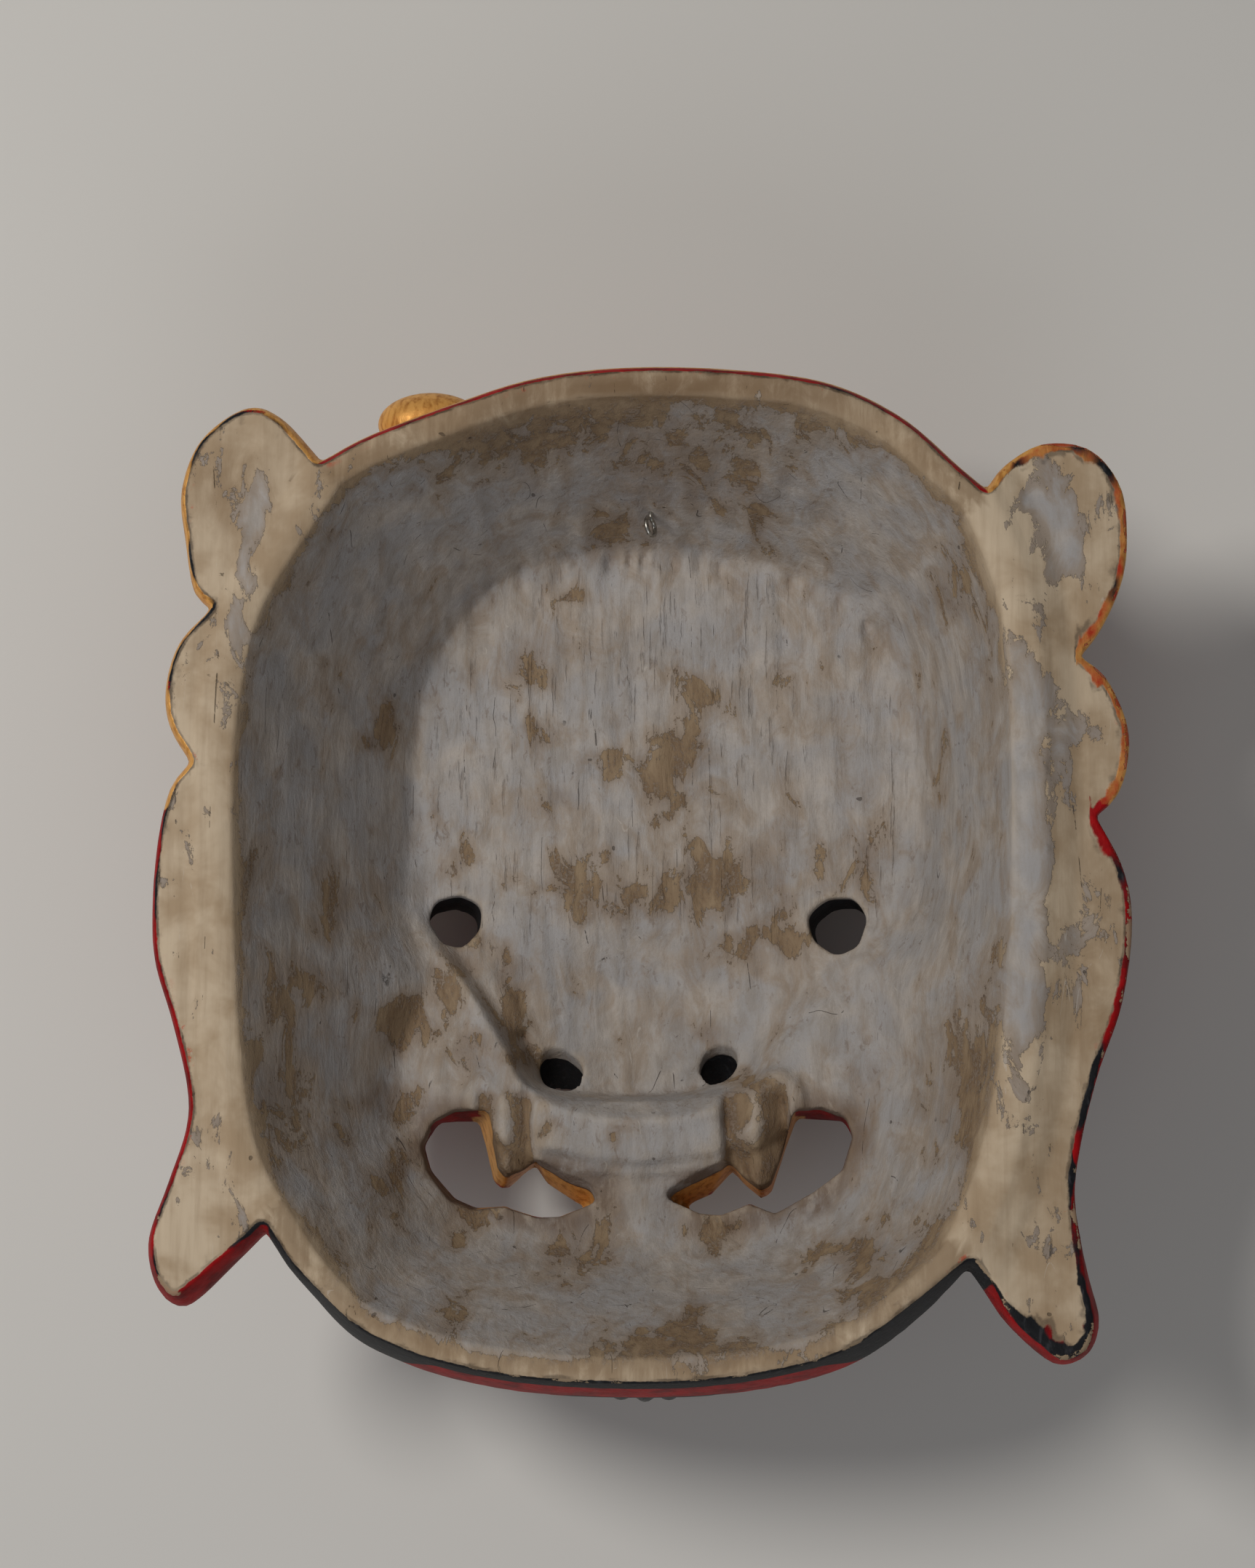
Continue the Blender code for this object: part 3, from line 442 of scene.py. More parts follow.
def mouth_relief(u, v):
    """Lips, fangs and the row of upper teeth between them."""
    forms = ridges(u, v, UPPER_LIP, (6, 5), (15, 12)) + ridges(u, v, LOWER_LIP, (6.5, 5), (14, 12))
    forms += ridges(u, v, FANG, (9.5, 3), (21, 14))
    teeth = 6 + 3 * np.abs(np.cos((u - MIDDLE) * math.pi / 11.5))
    row = ramp(39, 34, np.abs(u - MIDDLE)) * ramp(-101, -97, v) * ramp(-64, -70, v)
    forms.append(teeth * row)
    return strongest(*forms)


def cheek_relief(u, v):
    """Full cheeks, each with a fold below it."""
    forms = [cap(u, v, (MIDDLE + side * 51, -46), (25, 19), 12) for side in (-1, 1)]
    return strongest(*forms, *ridges(u, v, CHEEK_FOLD, (4, 2), (7, 3)))


def beard_relief(u, v, head):
    """The chin, and the beard that follows the jaw in curling strands."""
    chin = cap(u, v, (MIDDLE, -126), (27, 15), 8)
    angle = np.arctan2(u - MIDDLE, -v - 20)
    waves = 1.0 + 0.35 * np.cos(angle * 26)
    strands = 0.9 * np.cos(angle * 104 + 1.6 * np.sin(head * 0.3))
    beard = (7 * waves + strands) * bell(head - 13, 9) * ramp(-45, -80, v)
    return strongest(chin, beard)


def hair_relief(u, v, head):
    """Locks of flaming hair that stream from the crown to the edge of the head."""
    angle = np.arctan2(u - MIDDLE, v + 10)
    sway = 0.5 * np.sin(head * 0.25)
    locks = 2.5 + 2.5 * np.cos(angle * 30 + sway) + 0.55 * np.cos(angle * 150 + 3 * sway)
    return locks * ramp(58, 80, v) * ramp(34, 20, head) * ramp(0, 5, head)


def ear_relief(u, v, edge):
    """Curls of gold on the upper ears, and the rim and hollow of the long red ears below."""
    relief = 2.5 * bell(edge - 5, 3) - 3 * ramp(6, 12, edge) * ramp(24, 10, v)
    for a, b, radius in CURLS:
        r = np.hypot(u - a, v - b)
        spiral = 2.4 * np.cos(2 * math.pi * r / (radius * 0.62) - np.arctan2(v - b, u - a))
        relief = relief + spiral * ramp(radius, radius * 0.8, r)
    return relief


def bare_head_depth(u, v, head):
    """Depth of the head without its features: straight sides, and a domed face with a full muzzle."""
    face = np.interp(v, FACE_HEIGHTS, FACE_DEPTHS)
    muzzle = 11 * bell(u - MIDDLE, 36) * bell(v + 50, 32)
    return SIDE_DEPTH + (face - SIDE_DEPTH) * quarter_round(head / 62) + muzzle


def front_depth(u, v, head, edge):
    """Depth of the carved front below the rim."""
    behind_ear = 7 * ramp(-95, -130, u) * ramp(-110, -90, v) * ramp(125, 100, v)
    relief = strongest(nose_relief(u, v), eye_relief(u, v), brow_relief(u, v), crown_relief(u, v),
                       mouth_relief(u, v), cheek_relief(u, v))
    face = bare_head_depth(u, v, head - behind_ear) + relief
    face = face + hair_relief(u, v, head) + beard_relief(u, v, head)
    ear = EAR_THICKNESS - 8 * (1 - quarter_round(edge / 8)) + ear_relief(u, v, edge)
    return np.where((head > behind_ear) & (head > 0), face, ear)


def along_jaw(u, v):
    """1 along the jaw, 0 elsewhere."""
    return ramp(-108, -136, v) * ramp(112, 100, np.abs(u))


def draft(u, v, depth):
    """How far the side of the mask stands in from its outline at each depth."""
    jaw = along_jaw(u, v)
    ear_tip = ramp(-100, -132, v) * ramp(104, 118, np.abs(u))
    reach = EDGE_REACH + (JAW_REACH - EDGE_REACH) * np.maximum(jaw, 0.4 * ear_tip)
    share = np.clip(1 - depth / reach, 0, 1) ** 1.5
    return (EDGE_DRAFT + JAW_DRAFT * jaw + EAR_TIP_DRAFT * ear_tip) * share


def hollow_depth(u, v, head, into_floor):
    """Depth of the hollow below the rim, without tool marks. Its walls run on upward outside the rim."""
    within = head - RIM_WIDTH - JAW_DRAFT * along_jaw(u, v)
    share = within / np.maximum(within + np.maximum(-into_floor, 0), 1)
    upper_wall = HOLLOW_DEPTH * share + 2.5 * np.maximum(into_floor, 0)
    lower_wall = HOLLOW_DEPTH * within / (42 - 6 * np.clip(u / 110, -1, 1))
    wall = lower_wall + (upper_wall - lower_wall) * ramp(-60, -15, v)
    cheek = np.interp(v, CHEEK_HEIGHTS, CHEEK_DEPTHS)
    behind_nose = ramp(4, -48, v) * bell(u - MIDDLE, 28)
    channel = HOLLOW_DEPTH + (NOSE_HOLLOW_DEPTH - HOLLOW_DEPTH) * behind_nose
    softness = 4 + 13 * ramp(10, 60, u) * ramp(40, -20, v)
    floor = cheek + (channel - cheek) * ramp(-softness * 0.4, softness, into_floor)
    lip = ridge(u, v, LIP, (11, 11), (5, 5))
    crest = ridge(u, v, CREST, (7, 9), (1.5, 5))
    rounding = 2.5 + 13 * ramp(20, 90, u) + 16 * ramp(-30, -110, v)
    depth = soft_min(wall, floor - strongest(lip, crest), rounding)
    depth = soft_min(depth, bare_head_depth(u, v, head) - FACE_WALL, 4)
    return np.maximum(depth, -2 * ABOVE_RIM)


def tool_marks(u, v, head, into_floor, depth):
    """What the gouge left: channels down the floor, broad scoops on the walls, and bites at their step."""
    on_floor = ramp(-1, 5, into_floor)
    on_wall = ramp(RIM_WIDTH, RIM_WIDTH + 8, head) * (1 - on_floor)
    channels = 1.25 * np.abs(rough(u + 0.08 * v, v, 5.6, 30, 1)) + 0.42 * rough(u, v, 2.6, 13, 2)
    ripples = 0.36 * rough(u + 0.3 * v, v, 9, 3.2, 3)
    scoops = 1.5 * np.abs(rough(u + 0.4 * v, v - 0.3 * u, 17, 13, 4)) + 0.4 * rough(u, v, 6, 7, 5)
    bites = np.clip(rough(u, v, 2.3, 60, 6) + 0.15, 0, 1) * bell(into_floor - 3.5, 3.5)
    second = np.clip(rough(u, v, 2.5, 60, 12) - 0.1, 0, 1) * bell(into_floor - 13, 3.5)
    marks = (channels + ripples) * on_floor + scoops * on_wall * ramp(4, 20, depth)
    return marks + (3.4 * bites + 2.3 * second) * ramp(70, 92, v) + mouth_marks(u, v)


def fang_back(u, v, root, tip, half_width):
    """1 on the raw back of a fang and 0 elsewhere, and how far each place is from the fang's middle."""
    aside = np.abs(u - root - (tip - root) * ramp(-64, -96, v))
    upright = ramp(-60, -66, v) * ramp(-101, -97, v)
    return upright * ramp(half_width + 3, half_width, aside), aside


def mouth_marks(u, v):
    """The faceted backs of the fangs, a deep cut beside the left nostril and the lip's ledge and groove."""
    def along(points, width):
        gap, _ = distance_to_line(u, v, smooth_curve(points), closed=False)
        return bell(gap, width)

    cuts = 6.5 * along(NOSTRIL_CUT, 2.1) + 1.6 * along(LIP_GROOVE, 1.6) - 2.3 * along(LIP_LEDGE, 2.4)
    for fang in FANG_BACKS:
        share, aside = fang_back(u, v, *fang)
        cuts = cuts + (0.75 * np.minimum(aside, fang[2]) - 1.4) * share
    return cuts


def rim_depth(u, v, head):
    """How far the raw back lies below the rim's plane: little on the head, more on the ears."""
    worn = 0.22 + 0.2 * rough(u, v, 16, 16, 7) + 0.1 * rough(u, v, 3, 9, 8)
    right = ramp(90, 130, u)
    ears = (1.5 + 4 * right) * ramp(0, -12, head)
    crease = 0.9 * bell(head + 3.5, 2.6) * ramp(90, 110, np.abs(u))
    inner = head - JAW_DRAFT * along_jaw(u, v)
    rounded = 1.3 * ramp(RIM_WIDTH - 4, RIM_WIDTH + 1, inner)
    flowing = 2.2 * right * ramp(-45, -75, v) * bell(head - RIM_WIDTH, 7)
    return ears + crease + rounded + flowing + worn


class Places:
    """Places on the plan of the mask, with their distances to its outlines."""

    def __init__(self, x, y):
        self.x, self.y = x, y
        self.head = inside_distance(x, y, HEAD)
        self.edge = inside_distance(x, y, OUTLINE)
        self.floor = inside_distance(x, y, FLOOR)

    def front(self):
        return front_depth(self.x, self.y, self.head, self.edge)

    def hollow(self):
        return hollow_depth(self.x, self.y, self.head, self.floor)

    def carved_hollow(self):
        ragged = self.floor + 0.8 * rough(self.x, self.y, 3.1, 5, 9) * ramp(60, 90, self.y)
        depth = hollow_depth(self.x, self.y, self.head, ragged)
        return depth + tool_marks(self.x, self.y, self.head, ragged, depth)

    def rim(self):
        return rim_depth(self.x, self.y, self.head)


def new_object(name, mesh):
    """An object of this name and data, put in the scene."""
    obj = bpy.data.objects.new(name, mesh)
    bpy.context.scene.collection.objects.link(obj)
    return obj


def object_of(name, bm):
    """An object of the faces that bm holds, which is then freed."""
    mesh = bpy.data.meshes.new(name)
    bm.to_mesh(mesh)
    bm.free()
    return new_object(name, mesh)


def mesh_object(name, verts, faces):
    """An object of these points, in millimetres from the rim's plane down, with its faces pointing out."""
    mesh = bpy.data.meshes.new(name)
    mesh.from_pydata(verts, [], faces)
    bm = bmesh.new()
    bm.from_mesh(mesh)
    bpy.data.meshes.remove(mesh)
    bmesh.ops.triangulate(bm, faces=[face for face in bm.faces if len(face.verts) > 4])
    bmesh.ops.recalc_face_normals(bm, faces=bm.faces)
    return object_of(name, bm)


def settle(obj):
    """Makes an object's modifiers into its mesh."""
    graph = bpy.context.evaluated_depsgraph_get()
    mesh = bpy.data.meshes.new_from_object(obj.evaluated_get(graph))
    obj.modifiers.clear()
    obj.data = mesh


def combine(obj, other, operation):
    """Cuts or joins with another object, which is then removed."""
    modifier = obj.modifiers.new(operation.title(), "BOOLEAN")
    modifier.operation = operation
    modifier.solver = "MANIFOLD"
    modifier.object = other
    settle(obj)
    bpy.data.objects.remove(other)


def field_block(name, columns, rows, depth, far_depth):
    """A block whose near face is a carved surface over a grid and whose far face is flat."""
    x, y = np.meshgrid(columns, rows)
    nx, ny = len(columns), len(rows)
    surface = np.column_stack([x.ravel(), y.ravel(), -depth.ravel()])
    index = np.arange(nx * ny).reshape(ny, nx)
    border = np.concatenate([index[0, :-1], index[:-1, -1], index[-1, :0:-1], index[:0:-1, 0]])
    far = surface[border].copy()
    far[:, 2] = -far_depth
    corners = [index[:-1, :-1], index[:-1, 1:], index[1:, 1:], index[1:, :-1]]
    faces = np.stack(corners, axis=-1).reshape(-1, 4).tolist()
    count, base = len(border), nx * ny
    for i in range(count):
        j = (i + 1) % count
        faces.append((int(border[i]), base + i, base + j, int(border[j])))
    faces.append(tuple(range(base, base + count)))
    return mesh_object(name, np.vstack([surface, far]), faces)


def loft(name, rings):
    """A closed solid through rings of as many points each, as (points, depth) from the front to the back."""
    count = len(rings[0][0])
    verts = [(a, b, -depth) for points, depth in rings for a, b in points]
    faces = []
    for layer in range(len(rings) - 1):
        for i in range(count):
            a, b = layer * count + i, layer * count + (i + 1) % count
            faces.append((a, b, b + count, a + count))
    faces.append(tuple(range(count)))
    faces.append(tuple(range(len(verts) - count, len(verts))))
    return mesh_object(name, verts, faces)


def pulled_in(ring, amounts):
    """A ring moved inward by an amount at each point."""
    tangent = np.roll(ring, -1, axis=0) - np.roll(ring, 1, axis=0)
    tangent /= np.linalg.norm(tangent, axis=1)[:, None]
    inward = np.column_stack([tangent[:, 1], -tangent[:, 0]])
    return ring + inward * np.reshape(amounts, (-1, 1))


def silhouette_prism():
    """The outline through the whole depth, narrower toward the rim, most of all along the jaw."""
    rings = [(pulled_in(OUTLINE, draft(*OUTLINE.T, max(depth, 0.0))), depth) for depth in PRISM_DEPTHS]
    return loft("outline", rings)


def ellipsoid(centre, radii):
    """A boss of this centre and these radii."""
    bm = bmesh.new()
    bmesh.ops.create_uvsphere(bm, u_segments=32, v_segments=24, radius=1.0)
    for vert in bm.verts:
        vert.co = (centre[0] + vert.co.x * radii[0], centre[1] + vert.co.y * radii[1],
                   -centre[2] + vert.co.z * radii[2])
    return object_of("boss", bm)


def tunnel(start, end, diameter, seed):
    """A round cutter from one place to another, whittled by hand rather than drilled."""
    a, b = (Vector((p[0], p[1], -p[2])) for p in (start, end))
    line = b - a
    bm = bmesh.new()
    bmesh.ops.create_cone(bm, cap_ends=True, segments=22, radius1=diameter / 2, radius2=diameter / 2,
                          depth=line.length)
    for vert in bm.verts:
        angle = math.atan2(vert.co.y, vert.co.x)
        whittled = 1.0 + 0.05 * math.sin(3 * angle + seed) + 0.03 * math.sin(7 * angle + 2 * seed)
        vert.co.x *= whittled
        vert.co.y *= whittled
    turn = line.to_track_quat("Z", "Y").to_matrix().to_4x4()
    bmesh.ops.transform(bm, matrix=Matrix.Translation((a + b) / 2) @ turn, verts=bm.verts)
    return object_of("tunnel", bm)


def mouth_cutter(back, front):
    """A mouth opening that changes from its outline at the back to the one at the front."""
    shallow, deep = MOUTH_DEPTHS
    return loft("mouth", [(front, DEPTH + ABOVE_RIM), (front, deep), (back, shallow), (back, -ABOVE_RIM)])


def carve_mask():
    """The whole mask as one fine mesh, in millimetres."""
    columns = np.arange(-WIDTH / 2 - MARGIN, WIDTH / 2 + MARGIN, GRID_STEP)
    rows = np.arange(-HEIGHT / 2 - MARGIN, HEIGHT / 2 + MARGIN, GRID_STEP)
    x, y = np.meshgrid(columns, rows)
    places = Places(x.ravel(), y.ravel())
    mask = field_block("mask_wood", columns, rows, places.front(), -ABOVE_RIM)
    combine(mask, silhouette_prism(), "INTERSECT")
    for centre, radii in [CROWN_CURL, *GOATEE_LOCKS]:
        combine(mask, ellipsoid(centre, radii), "UNION")
    combine(mask, field_block("back", columns, rows, places.rim(), -2 * ABOVE_RIM), "DIFFERENCE")
    combine(mask, field_block("hollow", columns, rows, places.carved_hollow(), -3 * ABOVE_RIM), "DIFFERENCE")
    for mouth in [(LEFT_MOUTH_BACK, LEFT_MOUTH_FRONT), (RIGHT_MOUTH_BACK, RIGHT_MOUTH_FRONT)]:
        combine(mask, mouth_cutter(*mouth), "DIFFERENCE")
    for seed, hole in enumerate(EYE_TUNNELS + NOSTRIL_TUNNELS):
        combine(mask, tunnel(*hole, seed), "DIFFERENCE")
    remesh = mask.modifiers.new("Even faces", "REMESH")
    remesh.mode = "VOXEL"
    remesh.voxel_size = VOXEL
    smooth = mask.modifiers.new("Worn edges", "SMOOTH")
    smooth.factor = 0.5
    smooth.iterations = 1
    settle(mask)
    mask.data.calc_loop_triangles()
    have = len(mask.data.loop_triangles)
    if have > TRIANGLES:
        fewer = mask.modifiers.new("Fewer faces", "DECIMATE")
        fewer.ratio = TRIANGLES / have
        fewer.use_collapse_triangulate = True
        settle(mask)
    return mask


def coordinates(mesh):
    co = np.zeros(len(mesh.vertices) * 3, np.float32)
    mesh.vertices.foreach_get("co", co)
    return co.reshape(-1, 3).astype(float)


def fit_to_node(obj, node):
    """Sets the mesh into the box of the solid that it stands for, in metres."""
    low, high = (np.array(corner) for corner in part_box(node))
    co = coordinates(obj.data)
    own_low, own_high = co.min(axis=0), co.max(axis=0)
    co = low + (co - own_low) * (high - low) / (own_high - own_low)
    obj.data.vertices.foreach_set("co", co.astype(np.float32).ravel())
    obj.data.update()


def curvature(mesh, passes):
    """How far each point stands out from its neighbours, averaged over a few passes; hollows are negative."""
    co = coordinates(mesh)
    edges = np.zeros(len(mesh.edges) * 2, np.int32)
    mesh.edges.foreach_get("vertices", edges)
    a, b = edges.reshape(-1, 2).T
    count = np.bincount(a, minlength=len(co)) + np.bincount(b, minlength=len(co))

    def spread(values):
        total = np.bincount(a, values[b], len(co)) + np.bincount(b, values[a], len(co))
        return total / np.maximum(count, 1)

    normals = np.zeros(len(co) * 3, np.float32)
    mesh.vertices.foreach_get("normal", normals)
    normals = normals.reshape(-1, 3)
    middle = np.column_stack([spread(co[:, axis]) for axis in range(3)])
    for _ in range(passes):
        middle = np.column_stack([spread(middle[:, axis]) for axis in range(3)])
    out = ((co - middle) * normals).sum(axis=1)
    for _ in range(2):
        out = (out + spread(out)) / 2
    return out


def spots(x, y, ovals):
    """The strength of the strongest soft spot at each place, their borders wandering."""
    x, y = (x + 3.5 * rough(x, y, 13, 17, 21) + 3.5 * rough(x, y, 5, 7, 22),
            y + 4.5 * rough(x, y, 13, 17, 23) + 5 * rough(x, y, 5, 8, 24))
    out = np.zeros(len(x))
    for a, b, half_width, half_height, strength in ovals:
        r2 = ((x - a) / half_width) ** 2 + ((y - b) / half_height) ** 2
        out = np.maximum(out, strength * np.exp(-r2 * 0.8))
    return out


def tunnel_reach(x, y, depth, hole, more):
    """How far inside a round zone about a hole each place is, the zone wider than the hole all round."""
    a, b = (np.array(end, dtype=float) for end in hole[:2])
    line = (b - a) / np.linalg.norm(b - a)
    gap = np.column_stack([x, y, depth]) - a
    off = gap - np.outer(gap @ line, line)
    return np.maximum(hole[2] / 2 + more - np.linalg.norm(off, axis=1), FAR_OUTSIDE)


def within(*conditions):
    """How far inside all of several zones each place is."""
    return np.minimum.reduce(conditions)


def raw_reach(p, depth):
    """How far on the raw side of the paint's edge each place is; the front is far on the other side."""
    hollow, front = np.maximum(p.hollow(), 0.0), p.front()
    middle = np.maximum((front - hollow) / 2, PAINT_TURN)
    turn = strongest(hollow, p.rim()) + PAINT_TURN + (middle - PAINT_TURN) * ramp(9, 18, p.head)
    teeth = strongest(in_strokes(p.x, p.y, both_sides(FANG), (11, 8)),
                      within(37 - abs(p.x - MIDDLE), p.y + 104, -79 - p.y))
    around_mouth = within(82 - abs(p.x - MIDDLE), p.y + 112, -76 - p.y)
    turn = np.where(around_mouth > 0, front - 7, turn)
    turn = np.where(teeth > 0, hollow + 3.4, turn)
    lip = within(14 - abs(abs(p.x - MIDDLE) - 60), p.y + 76, -62 - p.y)
    turn = np.where(lip > 0, hollow + 2.2, turn)
    for holes, into_hole in ((EYE_TUNNELS, 1.0), (NOSTRIL_TUNNELS, 2.0)):
        for hole in holes:
            turn = np.where(tunnel_reach(p.x, p.y, depth, hole, 0.9) > 0, hollow + into_hole, turn)
    in_from_arris = p.edge - draft(p.x, p.y, 0.0) + 0.35
    return np.clip(within(turn - depth, in_from_arris), -6, 6)


def gold_reach(p, depth):
    """How far inside the gold paint each place is; negative outside."""
    x, y = p.x, p.y
    lines = [in_strokes(x, y, [line], widths) for line, widths, _ in brow_strokes()]
    lines.append(in_strokes(x, y, [CROWN_LINE], (7.5, 7.5)))
    lines.append(in_strokes(x, y, finials(), (8.5, 2)))
    lines.append(in_strokes(x, y, both_sides(THIRD_EYE_LID), (4.5, 4.5)))
    lines = within(strongest(*lines), depth - FACE_FROM)
    upper_ears = within(-p.head + 1, y - 22, depth - p.rim() + 0.2)
    fangs = in_strokes(x, y, both_sides(FANG), (10.5, 4.5))
    bevels = within(in_strokes(x, y, both_sides(FANG), (14, 9)), 90 - depth, -71 - y)
    teeth = within(37 - abs(x - MIDDLE), y + 103, -71 - y)
    centre, radii = CROWN_CURL
    curl = 1.3 - np.sqrt(((x - centre[0]) / radii[0]) ** 2 + ((y - centre[1]) / radii[1]) ** 2
                         + ((depth - centre[2]) / radii[2]) ** 2)
    curl = within(curl * 12, y + 0.42 * abs(x - centre[0]) - 149.0)
    tips = within(-156.6 - y + 0.004 * (x - GOATEE) ** 2, 22 - abs(x - GOATEE), depth - 24)
    skulls = strongest(*[oval(x, y, (MIDDLE + a, b - 4), (15.5, 19)) for a, b, _ in SKULLS])
    return strongest(within(lines, -skulls), upper_ears, fangs, bevels, teeth, curl, tips)


def bone_reach(p, depth):
    """How far inside the cream paint of the skulls and eyes each place is; negative outside."""
    x, y = p.x, p.y
    forms = [oval(x, y, (MIDDLE + a, b), (15.5, 14.5)) for a, b, _ in SKULLS]
    forms += [oval(x, y, (MIDDLE + a, b - 11), (10.5, 11.5)) for a, b, _ in SKULLS]
    lids = in_strokes(x, y, both_sides(UPPER_LID) + both_sides(LOWER_LID), (4.5, 4.5))
    eyes = within(strongest(*[oval(x, y, eye, (27, 19)) for eye in EYES]), -lids)
    third = oval(x, y, THIRD_EYE, (8.5, 12.5))
    return within(strongest(*forms, eyes, third), depth - 88)


def black_reach(p, depth):
    """How far inside the black paint each place is; negative outside."""
    x, y = p.x, p.y
    forms = [tunnel_reach(x, y, depth, hole, 3.2) for hole in EYE_TUNNELS]
    forms += [tunnel_reach(x, y, depth, hole, 1.0) for hole in NOSTRIL_TUNNELS]
    forms.append(oval(x, y, THIRD_EYE, (4.5, 6)))
    for a, b, _ in SKULLS:
        forms += [oval(x, y, (MIDDLE + a + side * 6, b - 3), (4.8, 5.3)) for side in (-1, 1)]
        forms.append(oval(x, y, (MIDDLE + a, b - 10), (2.8, 4.3)))
    beard = within(24 - p.head + 2 * np.sin(x * 0.5), -62 - y, p.head - 1, depth - 30)
    goatee = within(-155.6 - y, 24 - abs(x - GOATEE), depth - 22)
    line = 7.5 + 33 * ramp(56, 84, abs(x - MIDDLE))
    jaw = within(line - depth, -98 - y, 112 - abs(x), p.head + 8)
    ink = 0.2 - 0.9 * ramp(-80, -50, y) * ramp(90, 110, x)
    arris = within(ink + 1.3 * rough(x, y, 9, 9, 31) - (depth - p.rim()), 9 - p.edge)
    return strongest(within(strongest(*forms), depth - FACE_FROM), beard, goatee, jaw, arris)


def hair_reach(p, depth):
    """How far inside the orange paint of the hair each place is; negative outside."""
    band = np.interp(p.x - MIDDLE, *zip(*CROWN_BAND))
    return within(p.y - band + 2, p.head + 1, depth - 12)


def paint_fields(obj):
    """Stores how far each point is inside each zone of paint or wash, and how worn or hollow it is."""
    co = coordinates(obj.data)
    low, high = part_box("mask")
    x, y, depth = co[:, 0] / MM, co[:, 1] / MM, (high[2] - co[:, 2]) * DEPTH / (high[2] - low[2])
    p = Places(x, y)
    bend = curvature(obj.data, 3) / MM
    inside = ramp(RIM_WIDTH - 1, RIM_WIDTH + 5, p.head)
    deep = ramp(FACE_FROM, FACE_FROM + 6, depth)
    wash = strongest(inside * (0.8 + 0.2 * ramp(4, 30, depth)), spots(x, y, EAR_WASH))
    fang_backs = strongest(*[fang_back(x, y, *fang)[0] for fang in FANG_BACKS]) * deep
    stain = strongest(spots(x, y, STAINS), 0.85 * fang_backs) * inside
    rim = ramp(0, 3, p.head) * ramp(RIM_WIDTH + 8, RIM_WIDTH, p.head)
    mouth = strongest(*[oval(x, y, (a, b), (c, d)) for a, b, c, d in MOUTH_STAINS])
    mouth = ramp(-3.5, 2.5, mouth) * deep
    fields = {
        "raw": raw_reach(p, depth), "gold": gold_reach(p, depth), "bone": bone_reach(p, depth),
        "black": black_reach(p, depth), "hair": hair_reach(p, depth), "wash": np.maximum(wash, 0.25),
        "stain": stain, "edge": np.clip(p.edge, 0, 20), "inside": inside, "mouth": mouth,
        "worn": ramp(0.12, 0.75, bend), "hollowed": ramp(-0.12, -0.8, bend),
        "floor": ramp(0, 8, p.floor) * ramp(-40, 10, y), "rim": rim * (abs(p.edge - p.head) < 1),
        "brown": spots(x, y, BROWN_WOOD_AND_SHADE),
    }
    for name, values in fields.items():
        attribute = obj.data.attributes.new(name, "FLOAT", "POINT")
        attribute.data.foreach_set("value", values.astype(np.float32))


def colour(red, green, blue):
    """A colour as a screen shows it, made linear for the shader."""
    channels = [c / 255 for c in (red, green, blue)]
    linear = [c / 12.92 if c <= 0.04045 else ((c + 0.055) / 1.055) ** 2.4 for c in channels]
    return (*linear, 1.0)


